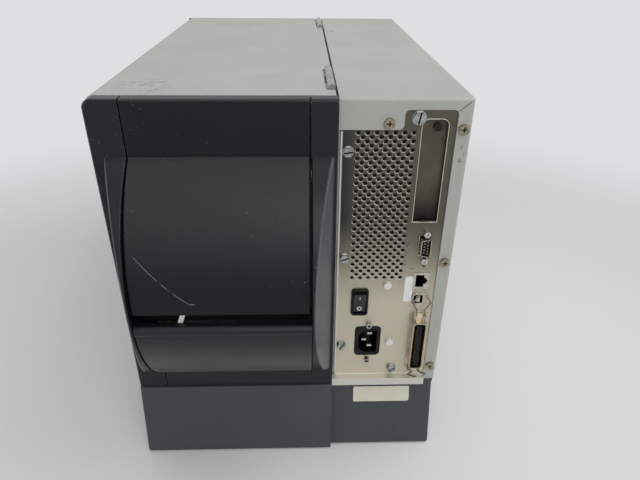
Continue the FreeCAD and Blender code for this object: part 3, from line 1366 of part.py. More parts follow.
def build_ribbon_and_head():
    """Make the ribbon spindles, the pivoting printhead with its lever, and the tear bar."""
    end = "wall_x - 4"
    spindle("ribbon_supply_spindle", "supply_y", "supply_z", [(end, 0), (end, "shaft_radius")])
    low = "belt_x - pulley_flange - 0.4"
    high = "belt_x + belt_wide + 0.4"
    rim = "takeup_pulley_r + belt_thick + 1"
    spindle("ribbon_takeup_spindle", "takeup_y", "takeup_z", [
        (low, 0), (low, rim), (f"{low} + pulley_flange", rim),
        (f"{low} + pulley_flange", "takeup_pulley_r"), (high, "takeup_pulley_r"),
        (high, rim), (f"{high} + pulley_flange", rim),
        (f"{high} + pulley_flange", "shaft_radius")])
    width = "head_right - head_left"
    carrier = pad("carrier_arm", "YZ", [[
        ("platen_y - 12", 170), ("platen_y + 10", 164), ("head_y - 16", 168), ("head_y + 9", 169),
        ("head_y + 9", 187), ("head_y - 20", 187), ("platen_y + 4", 182), ("platen_y - 12", 178),
    ]], "head_left", width)
    rounded(carrier, 3, lambda edge: runs(edge, "x") and edge.CenterOfMass.z > 177)
    pins = rod("carrier_pins", "X", ("wall_x + 0.2", "head_y", "head_z"), "trunnion",
               "frame_x + frame_thick - 0.2 - wall_x")
    keep("printhead_carrier", fuse("printhead_carrier", carrier, pins))
    crown = "platen_z + platen_radius + fit_gap"
    head = pad("printhead", "YZ", [[
        ("platen_y - 8", 152), ("platen_y - 5", crown), ("platen_y + 3", crown), ("platen_y + 8", 150),
        ("platen_y + 8", 160), ("platen_y - 8", 160),
    ]], "head_left + 4", f"{width} - 8")
    mount = box("head_mount", ("head_left + 20", "platen_y - 6", 160), (f"{width} - 40", 12, 4.5))
    keep("printhead", cut("printhead", fuse("printhead_solid", head, mount), carrier))
    hub = rod("lever_hub", "X", ("frame_x + frame_thick + 0.4", "lever_y", "lever_z"), 11, 9)
    spigot = rod("lever_spigot", "X", ("frame_x - 1.6", "lever_y", "lever_z"), "trunnion", 14)
    arm = pad("lever_arm_body", "YZ", [[
        (0, -5.5), ("lever_arm", -4), ("lever_arm + 6", 0), ("lever_arm", 4), (0, 5.5)]], 0, 7)
    rounded(arm, 2, lambda edge: runs(edge, "x") and edge.CenterOfMass.y > 20)
    place(arm, ("frame_x + frame_thick + 2", "lever_y", "lever_z"), Rotation(Vector(1, 0, 0), 128))
    keep("head_lever", fuse("head_lever", hub, spigot, arm))
    keep("tear_bar", pad("tear_bar", "YZ", [[
        ("tear_y", 138), ("tear_y + 3", 138), ("tear_y + 3", 148), ("tear_y + 1.4", 149.5), ("tear_y", 146),
    ]], "wall_x + wall_thick", "frame_x - wall_x - wall_thick"))


def build_media_path():
    """Make the print frame with its media bed and edge guide, then the hanger and the dancer arm."""
    side = pad("frame_side", "YZ", [[
        ("tear_y - 3", "media_deck"), ("bed_rear", "media_deck"), ("bed_rear", "bed_z + 2"),
        ("head_y + 14", "head_z + 12"), ("head_y - 14", "head_z + 12"), ("lever_y - 14", "lever_z + 4"),
        ("platen_y + 12", "platen_z + 12"), ("tear_y - 3", "platen_z + 12")]], "frame_x", "frame_thick")
    pocket(side, "YZ", [
        ("circle", "platen_y", "platen_z", "bearing_radius"),
        ("circle", "head_y", "head_z", "trunnion + bearing_fit"),
        ("circle", "lever_y", "lever_z", "trunnion + bearing_fit"),
    ], "frame_x - 1", "frame_thick + 2")
    bed = box("frame_bed", ("wall_x + wall_thick", "bed_front", "bed_z"),
              ("frame_x - wall_x - wall_thick + 1", "bed_rear - bed_front", "bed_thick"))
    track = box("frame_track", (20, "bed_rear - 26", "bed_z - 1"), (68, 8, "bed_thick + 2"))
    keep("print_frame", fuse("print_frame", side, cut("frame_bed_slotted", bed, track)))
    fin = box("guide_fin", (70, "bed_rear - 50", "bed_z + bed_thick + 0.4"), (3, 44, 14))
    stem = box("guide_stem", (68, "bed_rear - 26 + 0.4", "bed_z - 2"), (8, 7.2, "bed_thick + 2.4 + 1"))
    foot = box("guide_foot", (68, "bed_rear - 30", "bed_z - 3.4"), (8, 16, 3))
    keep("media_guide", fuse("media_guide", fin, stem, foot))
    build_hanger()
    build_dancer()


def build_hanger():
    """Make the media hanger and the supply guide that slides along it."""
    mount = box("hanger_mount", ("wall_x + wall_thick", "hanger_y - 26", "hanger_z - 34"), (4, 52, 60))
    bar = common("hanger_bar", rod("hanger_rod", "X", ("wall_x + wall_thick + 3", "hanger_y", "hanger_z"),
                                   "hanger_radius", "hanger_end - wall_x - wall_thick - 3"),
                 box("hanger_top", ("wall_x", "hanger_y - 20", "hanger_z - 6"), (200, 40, 30)))
    keep("media_hanger", fuse("media_hanger", mount, bar))
    plate = pad("guide_plate", "YZ", [[
        ("hanger_y - 24", "hanger_z - 14"), ("hanger_y + 24", "hanger_z - 14"),
        ("hanger_y + 24", "hanger_z + 14"), ("hanger_y + 14", "hanger_z + 62"),
        ("hanger_y - 14", "hanger_z + 62"), ("hanger_y - 24", "hanger_z + 14")]], "guide_x", 4)
    rounded(plate, 6, lambda edge: runs(edge, "x"))
    collar = box("guide_collar", ("guide_x", "hanger_y - 19", "hanger_z - 11"), (14, 38, 30))
    core = rod("guide_core", "X", ("guide_x - 2", "hanger_y", "hanger_z"),
               "hanger_radius + fit_gap + 0.1", 20)
    under = box("guide_under", ("guide_x - 3", "hanger_y - 30", "hanger_z - 46.4"), (24, 60, 40))
    keep("media_supply_guide", cut("media_supply_guide", fuse("guide_solid", plate, collar),
                                   cut("guide_bore", core, under)))


def build_dancer():
    """Make the dancer arm: a pivot in the wall, a link and the roll that the media runs over."""
    pivot = rod("dancer_pivot", "X", ("wall_x + 0.2", "dancer_y", "dancer_z"), "trunnion", "wall_thick + 3.4")
    arm = pad("dancer_link", "YZ", [[
        (-8, -8), ("dancer_reach + 7", -6), ("dancer_reach + 7", 6), (-8, 8)]], 0, 3)
    rounded(arm, 4, lambda edge: runs(edge, "x"))
    lean = value("dancer_lean")
    place(arm, ("wall_x + wall_thick + 0.6", "dancer_y", "dancer_z"), Rotation(Vector(1, 0, 0), lean))
    across = f"dancer_y + dancer_reach * ({math.cos(math.radians(lean))})"
    rise = f"dancer_z + dancer_reach * ({math.sin(math.radians(lean))})"
    roll = rod("dancer_roll_rod", "X", ("wall_x + wall_thick + 1", across, rise), "dancer_roll", 122)
    keep("dancer_arm", fuse("dancer_arm", pivot, arm, roll))


def check_and_write():
    """Stop on any broken object, then write every sub-part to its own file."""
    doc.recompute()
    for thing in doc.Objects:
        if "Invalid" in thing.State or "Error" in thing.State:
            raise RuntimeError(f"{thing.Label}: {thing.State}")
    os.makedirs("parts", exist_ok=True)
    for label, thing in nodes.items():
        shape = thing.Shape
        if shape.isNull() or not shape.isValid() or not shape.Solids:
            raise RuntimeError(f"{label} has no sound solid")
        shape.exportStep(f"parts/{label}.step")


build_base()
build_electronics_cover()
build_door()
build_rear_cover()
build_front()
build_rear_panel()
build_power()
build_ports()
build_fasteners()
build_wall_and_boards()
build_drive()
build_ribbon_and_head()
build_media_path()
check_and_write()
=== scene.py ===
"""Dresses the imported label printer: finishes for every solid, the small trim, floor, light and camera.

Sizes are written in millimetres and turned into metres where a mesh is made. The frame is the
part's own: +Z up, the rear with its connectors faces +Y and the media bay is on the +X side.
"""

from __future__ import annotations

import json
import logging
import math
from collections.abc import Callable, Iterable, Iterator
from dataclasses import dataclass
from enum import Enum
from functools import reduce

import bmesh
import bpy
from mathutils import Matrix, Vector

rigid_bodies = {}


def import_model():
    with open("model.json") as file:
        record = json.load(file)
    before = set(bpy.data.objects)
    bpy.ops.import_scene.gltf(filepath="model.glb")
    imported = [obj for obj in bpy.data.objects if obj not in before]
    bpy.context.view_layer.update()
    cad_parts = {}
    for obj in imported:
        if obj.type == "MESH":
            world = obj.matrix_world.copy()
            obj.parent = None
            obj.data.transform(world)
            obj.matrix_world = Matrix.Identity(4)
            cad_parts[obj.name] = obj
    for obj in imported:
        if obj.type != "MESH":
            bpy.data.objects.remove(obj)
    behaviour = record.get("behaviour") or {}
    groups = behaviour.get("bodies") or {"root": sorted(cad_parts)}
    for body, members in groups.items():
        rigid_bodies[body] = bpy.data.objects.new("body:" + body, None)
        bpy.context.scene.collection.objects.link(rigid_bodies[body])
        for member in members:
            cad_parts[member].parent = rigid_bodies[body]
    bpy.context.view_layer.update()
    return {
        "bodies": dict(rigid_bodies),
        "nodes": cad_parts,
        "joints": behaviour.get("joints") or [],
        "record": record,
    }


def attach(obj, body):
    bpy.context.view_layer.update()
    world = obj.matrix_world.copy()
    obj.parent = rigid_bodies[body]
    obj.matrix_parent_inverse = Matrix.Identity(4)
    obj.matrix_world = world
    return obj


LOG = logging.getLogger("label_printer")
MM = 0.001
STRAIGHT = 0.999
SMOOTH_ANGLE = 35.0

Color = tuple[float, float, float]
Place = tuple[float, float, float]
Span = tuple[float, float]
Piece = bpy.types.Object
Socket = bpy.types.NodeSocket
Layer = tuple[object, object]


class Axis(Enum):
    """The three directions that an edge runs along or a piece turns about."""

    X = "X"
    Y = "Y"
    Z = "Z"

    @property
    def index(self) -> int:
        """Gives the place of this axis in a vector."""
        return "XYZ".index(self.value)


class Part(Enum):
    """What is selected of a mesh in edit mode."""

    FACES = "FACE"
    EDGES = "EDGE"


def mm(x: float, y: float, z: float) -> Vector:
    """Gives a place in metres from millimetres."""
    return Vector((x, y, z)) * MM


class NodeBench:
    """Adds and links nodes in one node tree."""

    def __init__(self, tree: bpy.types.NodeTree) -> None:
        """Keeps the tree that is worked on."""
        self.tree = tree

    def feed(self, socket: Socket, source: object) -> None:
        """Links a socket to another, or writes a constant on it.

        Args:
            socket: the input to feed.
            source: an output socket, a number, or a colour or vector of three numbers.
        """
        if isinstance(source, Socket):
            self.tree.links.new(source, socket)
        elif socket.type == "RGBA":
            socket.default_value = (*source, 1.0)
        else:
            socket.default_value = source

    def add(self, kind: str, feeds: dict[object, object] | None = None, **settings: object) -> bpy.types.Node:
        """Adds a node.

        Args:
            kind: Blender's type name of the node.
            feeds: what goes into its inputs, by the inputs' names or numbers.
            settings: properties of the node and their values.

        Returns:
            The new node.
        """
        node = self.tree.nodes.new(kind)
        for name, setting in settings.items():
            setattr(node, name, setting)
        for key, source in (feeds or {}).items():
            self.feed(node.inputs[key], source)
        return node

    def math(self, operation: str, *terms: object, clamp: bool = False) -> Socket:
        """Works out a sum of numbers and sockets, which a clamp keeps between 0 and 1."""
        node = self.add("ShaderNodeMath", dict(enumerate(terms)), operation=operation, use_clamp=clamp)
        return node.outputs[0]

    def times(self, *factors: object) -> Socket:
        """Multiplies numbers and sockets."""
        return reduce(lambda product, factor: self.math("MULTIPLY", product, factor), factors)

    def near(self, away: object, reach: object) -> Socket:
        """Gives 1 at no distance and 0 from a reach on."""
        return self.math("SUBTRACT", 1.0, self.math("DIVIDE", away, reach), clamp=True)

    def spread(self, value: object, low: float, high: float) -> Socket:
        """Maps a value smoothly to 0 at low and 1 at high."""
        feeds = {"Value": value, "From Min": low, "From Max": high}
        return self.add("ShaderNodeMapRange", feeds, interpolation_type="SMOOTHSTEP").outputs["Result"]

    def rise(self, value: Socket, low: float, high: float) -> Socket:
        """Maps a coordinate smoothly to 0 at low and 1 at high, both in millimetres."""
        return self.spread(value, low * MM, high * MM)

    def blend(self, share: object, under: object, over: object) -> Socket:
        """Lays a share of the upper colour over the lower one."""
        feeds = {0: share, 6: under, 7: over}
        return self.add("ShaderNodeMix", feeds, data_type="RGBA", clamp_factor=True).outputs[2]

    def place(self, stretch: Place = (1, 1, 1), turn: Place = (0, 0, 0), middle: Place = (0, 0, 0)) -> Socket:
        """Gives Object coordinates, stretched and turned.

        Args:
            stretch: the factor along each axis.
            turn: the turn about each axis in degrees.
            middle: where they start, in metres.

        Returns:
            The coordinates' socket.
        """
        feeds = {
            "Vector": self.add("ShaderNodeTexCoord").outputs["Object"],
            "Location": middle,
            "Rotation": [math.radians(angle) for angle in turn],
            "Scale": stretch,
        }
        return self.add("ShaderNodeMapping", feeds, vector_type="TEXTURE").outputs["Vector"]

    def split(self, vector: Socket) -> tuple[Socket, ...]:
        """Gives the X, Y and Z of a vector as separate sockets."""
        return tuple(self.add("ShaderNodeSeparateXYZ", {0: vector}).outputs)

    def axes(self) -> tuple[Socket, ...]:
        """Gives the three Object coordinates as separate sockets, in metres."""
        return self.split(self.place())

    def normal(self) -> Socket:
        """Gives the surface's own normal."""
        return self.add("ShaderNodeNewGeometry").outputs["Normal"]

    def rounded(self, reach: object) -> Socket:
        """Gives the normal of the surface with its edges rounded by that many metres."""
        return self.add("ShaderNodeBevel", {"Radius": reach}, samples=6).outputs["Normal"]

    def measure(self, operation: str, *vectors: object) -> Socket:
        """Gives the number that Blender's vector operation of that name makes of some vectors."""
        node = self.add("ShaderNodeVectorMath", dict(enumerate(vectors)), operation=operation)
        return node.outputs["Value"]

    def patch(self, middle: Place, size: Place) -> Socket:
        """Makes a soft patch, 1 in the middle and 0 from its half size on, both in millimetres."""
        return self.spread(self.measure("LENGTH", self.place(mm(*size), middle=mm(*middle))), 1.0, 0.4)

    def noise(self, vector: Socket, scale: object, detail: float = 3.0) -> Socket:
        """Adds a noise from 0 to 1 with so many waves in a metre and finer layers of detail."""
        return self.add("ShaderNodeTexNoise", {"Vector": vector, "Scale": scale, "Detail": detail}).outputs[0]

    def cells(self, scale: Socket) -> bpy.types.NodeOutputs:
        """Adds a pattern with so many cells in a metre and gives its outputs."""
        return self.add("ShaderNodeTexVoronoi", {"Vector": self.place(), "Scale": scale}).outputs

    def effect(self, effect: Effect, **values: float) -> Socket:
        """Places a shared effect in this tree, with its inputs' values, and gives its only output."""
        return self.add("ShaderNodeGroup", values, node_tree=effect.group()).outputs[0]

    def seen(self) -> Socket:
        """Tells what the camera sees.

        Returns:
            1 where it sees the surface, straight, in a reflection or through glass, and else 0.
        """
        path = self.add("ShaderNodeLightPath").outputs
        mirrored = self.math("MAXIMUM", path["Is Glossy Ray"], path["Is Transmission Ray"])
        return self.math("MAXIMUM", path["Is Camera Ray"], mirrored)

    def mix_shaders(self, out: Socket, share: Socket, under: Socket, over: Socket) -> None:
        """Lays a share of the upper shader over the lower one and feeds an output with both."""
        self.feed(out, self.add("ShaderNodeMixShader", {0: share, 1: under, 2: over}).outputs["Shader"])


class Effect(Enum):
    """The effects that several finishes share, each one shader node group with one output."""

    GRAIN = "moulded_grain"
    MOTTLE = "soft_mottle"
    SPECKS = "dust_specks"
    SCUFFS = "hair_scuffs"
    WORN_EDGE = "worn_edge"
    BRUSHED = "brushed_lines"

    def group(self) -> bpy.types.NodeTree:
        """Gives the effect's node group, made the first time it is asked for."""
        return bpy.data.node_groups.get(self.value) or EFFECT_PLANS[self].build(self.value)


class EffectBench(NodeBench):
    """Works on the node group of one effect; each method but waves makes the output of one effect."""

    def __init__(self, tree: bpy.types.NodeTree) -> None:
        """Keeps the tree and the group's inputs."""
        super().__init__(tree)
        self.given = self.add("NodeGroupInput").outputs

    def waves(self) -> Socket:
        """Gives how many waves of the pattern are in a metre."""
        return self.math("DIVIDE", 1.0, self.given["Size"])

    def grain(self) -> Socket:
        """Makes the fine grain of moulded plastic and paint.

        Returns:
            A height.
        """
        waves = self.waves()
        fine = self.cells(self.times(waves, 0.7))["Distance"]
        return self.math("MULTIPLY_ADD", self.noise(self.place(), waves, 2.0), 0.65, self.times(fine, 0.35))

    def mottle(self) -> Socket:
        """Makes slow changes of tone over a surface, about one half."""
        return self.spread(self.noise(self.place(), self.waves(), 5.0), 0.25, 0.75)

    def specks(self) -> Socket:
        """Makes scattered specks of dust.

        Returns:
            A mask.
        """
        cells = self.cells(self.waves())
        draw, size, _ = self.add("ShaderNodeSeparateColor", {0: cells["Color"]}).outputs
        chosen = self.math("LESS_THAN", draw, self.given["Share"])
        radius = self.math("MULTIPLY_ADD", size, 0.16, 0.03)
        dot = self.spread(self.near(cells["Distance"], radius), 0.0, 0.6)
        patches = self.spread(self.noise(self.place(), 14.0, 2.0), 0.42, 0.66)
        return self.times(dot, chosen, patches)

    def scuffs(self) -> Socket:
        """Makes thin wandering scuff lines in a few patches.

        Returns:
            A mask.
        """
        waves = self.waves()
        lines = self.noise(self.place((1.0, 6.0, 3.0), (20, 35, 25)), waves, 1.5)
        away = self.math("ABSOLUTE", self.math("SUBTRACT", lines, 0.5))
        patches = self.spread(self.noise(self.place(), self.times(waves, 0.4), 2.0), 0.55, 0.7)
        return self.times(self.near(away, self.given["Width"]), patches)

    def worn_edge(self) -> Socket:
        """Makes the pale line along sharp edges: real wear and a painted highlight together.

        Returns:
            A mask.
        """
        agree = self.measure("DOT_PRODUCT", self.rounded(self.given["Reach"]), self.normal())
        edge = self.spread(self.math("SUBTRACT", 1.0, agree), 0.02, 0.22)
        broken = self.spread(self.noise(self.place(), 160.0, 4.0), 0.3, 0.62)
        return self.times(edge, broken)

    def brushed(self) -> Socket:
        """Makes the fine rolled lines of sheet metal, about one half."""
        return self.noise(self.place((30.0, 30.0, 1.0)), self.waves())


@dataclass(frozen=True)
class EffectPlan:
    """How an effect is made: the work, the name of its output and its inputs' first values."""

    work: Callable[[EffectBench], Socket]
    output: str
    inputs: dict[str, float]

    def build(self, name: str) -> bpy.types.NodeTree:
        """Makes the effect's shader node group.

        Args:
            name: the group's name.

        Returns:
            The group with its nodes linked.
        """
        tree = bpy.data.node_groups.new(name, "ShaderNodeTree")
        for key, number in self.inputs.items():
            socket = tree.interface.new_socket(key, in_out="INPUT", socket_type="NodeSocketFloat")
            socket.default_value = number
        tree.interface.new_socket(self.output, in_out="OUTPUT", socket_type="NodeSocketFloat")
        bench = EffectBench(tree)
        bench.add("NodeGroupOutput", {self.output: self.work(bench)})
        return tree


EFFECT_PLANS: dict[Effect, EffectPlan] = {
    Effect.GRAIN: EffectPlan(EffectBench.grain, "Height", {"Size": 0.001}),
    Effect.MOTTLE: EffectPlan(EffectBench.mottle, "Value", {"Size": 0.05}),
    Effect.SPECKS: EffectPlan(EffectBench.specks, "Mask", {"Size": 0.004, "Share": 0.2}),
    Effect.SCUFFS: EffectPlan(EffectBench.scuffs, "Mask", {"Size": 0.03, "Width": 0.02}),
    Effect.WORN_EDGE: EffectPlan(EffectBench.worn_edge, "Mask", {"Reach": 0.001}),
    Effect.BRUSHED: EffectPlan(EffectBench.brushed, "Value", {"Size": 0.0012}),
}


@dataclass(frozen=True)
class Finish:
    """One surface finish: a Principled shader with tone, worn edges that also carry a painted highlight, and
    grain from its nodes.

    Sizes of patterns are in millimetres. A strength of 0 leaves that effect out. A finish that
    pieces of the trim are given also names the record's slot that they belong to.
    """

    name: str
    color: Color
    roughness: float
    slot: str = ""
    metallic: float = 0.0
    mottle: float = 0.1
    mottle_size: float = 60.0
    mottle_color: Color = (0.0, 0.0, 0.0)
    uneven: float = 0.12
    grain: float = 0.0
    grain_size: float = 1.0
    grain_depth: float = 0.25
    brushed: float = 0.0
    brushed_size: float = 1.2
    dust: float = 0.0
    dust_size: float = 4.0
    dust_share: float = 0.5
    dust_color: Color = (0.35, 0.34, 0.31)
    scuffs: float = 0.0
    scuff_size: float = 30.0
    scuff_color: Color = (0.12, 0.12, 0.12)
    edge_wear_and_light: float = 0.0
    edge_wear_and_light_reach: float = 0.8
    edge_wear_and_light_color: Color = (0.6, 0.6, 0.58)
    coat: float = 0.0
    clear: float = 0.0
    shine: float = 0.5

    def marks(self, bench: NodeBench) -> Iterator[Layer]:
        """Gives the share and colour of marks that only one finish has; a plain finish has none."""
        yield from ()

    def wear_and_edge_light_marks(self, bench: NodeBench) -> Iterator[Layer]:
        """Makes the scuffs, the worn edges with their painted highlight, and the dust.

        Args:
            bench: the bench of the material's tree.

        Returns:
            Each one's share and colour, the lowest first.
        """
        dust = {"Size": self.dust_size * MM, "Share": self.dust_share}
        rows = ((Effect.SCUFFS, {"Size": self.scuff_size * MM}, self.scuffs, self.scuff_color),
                (Effect.WORN_EDGE, {"Reach": self.edge_wear_and_light_reach * MM}, self.edge_wear_and_light, self.edge_wear_and_light_color),
                (Effect.SPECKS, dust, self.dust, self.dust_color))
        for effect, sizes, strength, color in rows:
            if strength:
                yield bench.times(bench.effect(effect, **sizes), strength), color

    def material(self) -> bpy.types.Material:
        """Gives the finish's material, made the first time it is asked for.

        Returns:
            The material with its nodes linked.
        """
        made = bpy.data.materials.get(self.name)
        if made:
            return made
        material = bpy.data.materials.new(self.name)
        material.use_nodes = True
        material.diffuse_color = (*self.color, 1.0)
        bench = NodeBench(material.node_tree)
        sockets = material.node_tree.nodes["Principled BSDF"].inputs
        for name, level in (("Metallic", self.metallic), ("Coat Weight", self.coat),
                            ("Transmission Weight", self.clear), ("Specular IOR Level", self.shine)):
            sockets[name].default_value = level
        tone = bench.effect(Effect.MOTTLE, Size=self.mottle_size * MM)
        color = bench.blend(bench.times(tone, self.mottle), self.color, self.mottle_color)
        for share, tint in (*self.marks(bench), *self.wear_and_edge_light_marks(bench)):
            color = bench.blend(share, color, tint)
        bench.feed(sockets["Base Color"], color)
        rough = bench.math("MULTIPLY_ADD", bench.math("SUBTRACT", tone, 0.5), self.uneven, self.roughness)
        if self.brushed:
            lines = bench.effect(Effect.BRUSHED, Size=self.brushed_size * MM)
            rough = bench.math("MULTIPLY_ADD", bench.math("SUBTRACT", lines, 0.5), self.brushed, rough)
        bench.feed(sockets["Roughness"], rough)
        if self.grain:
            height = bench.effect(Effect.GRAIN, Size=self.grain_size * MM)
            depth = self.grain_depth * self.grain_size * MM
            bump = bench.add("ShaderNodeBump", {"Strength": self.grain, "Distance": depth, "Height": height})
            bench.feed(sockets["Normal"], bump.outputs["Normal"])
        return material


@dataclass(frozen=True)
class Spot:
    """A place where paint is rubbed or chipped; a higher level leaves fewer flecks."""

    middle: Place
    size: Place
    stretch: Place
    level: float
    color: Color


@dataclass(frozen=True)
class PaintFinish(Finish):
    """Cover paint with dark rubs on the door's top and chips along the edge of the rear flange."""

    rubs: Spot = Spot((94.0, 142.0, 339.0), (36.0, 26.0, 5.0), (3.0, 0.8, 1.0), 0.58, (0.07, 0.07, 0.066))
    chips: Spot = Spot((-132.6, 176.5, 292.0), (2.6, 4.0, 19.0), (1.6, 1.0, 1.6), 0.55, (0.15, 0.12, 0.075))
    fleck_waves: float = 420.0
    fleck_turn: float = 8.0
    fleck_edge: float = 0.07
    fleck_share: float = 0.9

    def marks(self, bench: NodeBench) -> Iterator[Layer]:
        """Makes the rubs and the chips.

        Args:
            bench: the bench of the material's tree.

        Returns:
            The share and colour of each.
        """
        for spot in (self.rubs, self.chips):
            flecks = bench.noise(bench.place(spot.stretch, (0, 0, self.fleck_turn)), self.fleck_waves)
            shown = bench.spread(flecks, spot.level, spot.level + self.fleck_edge)
            yield bench.times(bench.patch(spot.middle, spot.size), shown, self.fleck_share), spot.color


@dataclass(frozen=True)
class ScratchedFinish(Finish):
    """The curved cover panel's plastic: paler where it looks up, dust and painted top light together, with
    one long pale scratch and a smear.
    """

    middle_x: float = 86.6
    middle_z: float = 220.36
    slope: float = 0.9989
    bend: float = 0.00567
    half_length: float = 18.4
    half_width: float = 0.45
    smear_middle: Place = (65.8, 230.0, 203.6)
    smear_size: Place = (3.4, 6.0, 0.9)
    smear: float = 0.7
    scratch: float = 0.85
    scratch_color: Color = (0.30, 0.31, 0.31)
    # Paler where the surface looks up: dust and painted top light together.
    dust_and_top_light: float = 0.9
    dust_and_top_light_tilt: Span = (0.05, 0.75)
    dust_and_top_light_color: Color = (0.032, 0.034, 0.034)

    def marks(self, bench: NodeBench) -> Iterator[Layer]:
        """Makes the pale layer where the surface looks up, dust and painted top light together, and the
        scratch.

        Args:
            bench: the bench of the material's tree.

        Returns:
            The share and colour of each.
        """
        # Painted top light with dust: paler on faces that look up.
        upward = bench.split(bench.normal())[2]
        yield bench.times(bench.spread(upward, *self.dust_and_top_light_tilt), self.dust_and_top_light), self.dust_and_top_light_color
        x, _, z = bench.axes()
        along_x = bench.math("MULTIPLY_ADD", x, 1 / MM, -self.middle_x)
        height = bench.math("MULTIPLY_ADD", z, 1 / MM, -self.middle_z)
        curve = bench.times(along_x, bench.math("MULTIPLY_ADD", along_x, self.bend, self.slope))
        line = bench.near(bench.math("ABSOLUTE", bench.math("SUBTRACT", height, curve)), self.half_width)
        inside = bench.math("LESS_THAN", bench.math("ABSOLUTE", along_x), self.half_length)
        broken = bench.spread(bench.noise(bench.place(), 300.0, 2.0), 0.3, 0.5)
        smear = bench.times(bench.patch(self.smear_middle, self.smear_size), self.smear)
        either = bench.math("MAXIMUM", bench.times(line, inside, broken), smear)
        yield bench.times(either, self.scratch), self.scratch_color


@dataclass(frozen=True)
class PaintedReflectionFinish(Finish):
    """Plated sheet painted darker upwards as a painted reflection, with painted highlights on the edges of
    its pierced holes.
    """

    # Painted reflection: the sheet is darker upwards, and darker still towards its left side.
    painted_reflection_z: Span = (150.0, 245.0)
    top_color: Color = (0.100, 0.090, 0.068)
    side_x: Span = (-64.0, -43.0)
    side_color: Color = (0.026, 0.025, 0.022)
    # Painted highlight on the hole edges that tilt upwards.
    rim: float = 0.95
    rim_reach: float = 1.0
    rim_lean: float = -0.6
    rim_tilt: Span = (0.1, 0.35)
    rim_highlight_color: Color = (0.86, 0.84, 0.76)
    ledge_y: Span = (175.6, 175.9)
    ledge_color: Color = (0.62, 0.62, 0.56)

    def marks(self, bench: NodeBench) -> Iterator[Layer]:
        """Paints the reflection that darkens the sheet upwards and the highlights on the rims, and makes the
        paler folded edges.

        Args:
            bench: the bench of the material's tree.

        Returns:
            The share and colour of each.
        """
        x, y, z = bench.axes()
        # Painted reflection, darker upwards.
        top = bench.blend(bench.rise(x, *self.side_x), self.top_color, self.side_color)
        yield bench.rise(z, *self.painted_reflection_z), top
        # Painted highlight on the rims.
        sideways, _, upward = bench.split(bench.rounded(self.rim_reach * MM))
        tilt = bench.math("MULTIPLY_ADD", sideways, self.rim_lean, upward)
        yield bench.times(bench.spread(tilt, *self.rim_tilt), self.rim), self.rim_highlight_color
        yield bench.rise(y, *self.ledge_y), self.ledge_color


@dataclass(frozen=True)
class GradedFinish(Finish):
    """A finish with a painted tone at its foot that fades upwards: a painted reflection on the lip, painted
    shade on the slot blank; below the floor height it is plain again.
    """

    floor_z: float = 0.0
    foot_z: float = 112.0
    clear_z: float = 178.0
    painted_foot_tone: Color = (0.088, 0.089, 0.085)

    def marks(self, bench: NodeBench) -> Iterator[Layer]:
        """Paints the tone of the foot: a painted reflection on the lip, painted shade on the slot blank.

        Args:
            bench: the bench of the material's tree.

        Returns:
            Its share and colour.
        """
        z = bench.axes()[2]
        above = bench.math("SUBTRACT", 1.0, bench.math("LESS_THAN", z, self.floor_z * MM))
        yield bench.times(bench.rise(z, self.clear_z, self.foot_z), above), self.painted_foot_tone


@dataclass(frozen=True)
class SlotFinish(GradedFinish):
    """The slot blank's plate: painted shade darkens it towards its foot, with a black fixing head that stands
    out of it.
    """

    knob_y: Span = (172.2, 172.6)
    knob_color: Color = (0.010, 0.009, 0.008)

    def marks(self, bench: NodeBench) -> Iterator[Layer]:
        """Paints the shade at the foot and makes the black head."""
        yield from super().marks(bench)
        yield bench.rise(bench.axes()[1], *self.knob_y), self.knob_color


@dataclass(frozen=True)
class RailFinish(Finish):
    """The rails' plastic, painted paler as a highlight on the cheeks that face away from the curved panel."""

    painted_cheek_highlight: float = 0.85
    painted_cheek_highlight_tilt: Span = (0.15, 0.75)
    painted_cheek_highlight_color: Color = (0.120, 0.135, 0.148)

    def marks(self, bench: NodeBench) -> Iterator[Layer]:
        """Paints the highlight on the cheeks."""
        outward = bench.times(bench.split(bench.normal())[0], bench.math("SIGN", bench.axes()[0]))
        yield bench.times(bench.spread(outward, *self.painted_cheek_highlight_tilt), self.painted_cheek_highlight), self.painted_cheek_highlight_color


@dataclass(frozen=True)
class RecessFinish(Finish):
    """Metal of a screw, with painted shade at the bottom of its driver recess."""

    floor_y: Span = (177.5, 178.3)
    outward: float = 0.7
    inside_color: Color = (0.012, 0.011, 0.010)

    def marks(self, bench: NodeBench) -> Iterator[Layer]:
        """Paints shade on the floor of the recess, where a face at its depth looks out of it.

        Args:
            bench: the bench of the material's tree.

        Returns:
            Its share and colour.
        """
        y = bench.axes()[1]
        deep, shallow = (limit * MM for limit in self.floor_y)
        inside = bench.times(bench.math("GREATER_THAN", y, deep), bench.math("LESS_THAN", y, shallow))
        outward = bench.math("GREATER_THAN", bench.split(bench.normal())[1], self.outward)
        yield bench.times(inside, outward), self.inside_color


@dataclass(frozen=True)
class DeepFinish(Finish):
    """Plated metal round the mouth of a connector, dark deeper inside: the black moulding there and painted
    shade on the metal together.
    """

    mouth_y: Span = (175.2, 174.7)
    inside_color: Color = (0.006, 0.006, 0.006)

    def marks(self, bench: NodeBench) -> Iterator[Layer]:
        """Makes the dark inside, moulding colour and painted shade together."""
        yield bench.rise(bench.axes()[1], *self.mouth_y), self.inside_color


DARK: Color = (0.0058, 0.0080, 0.0098)

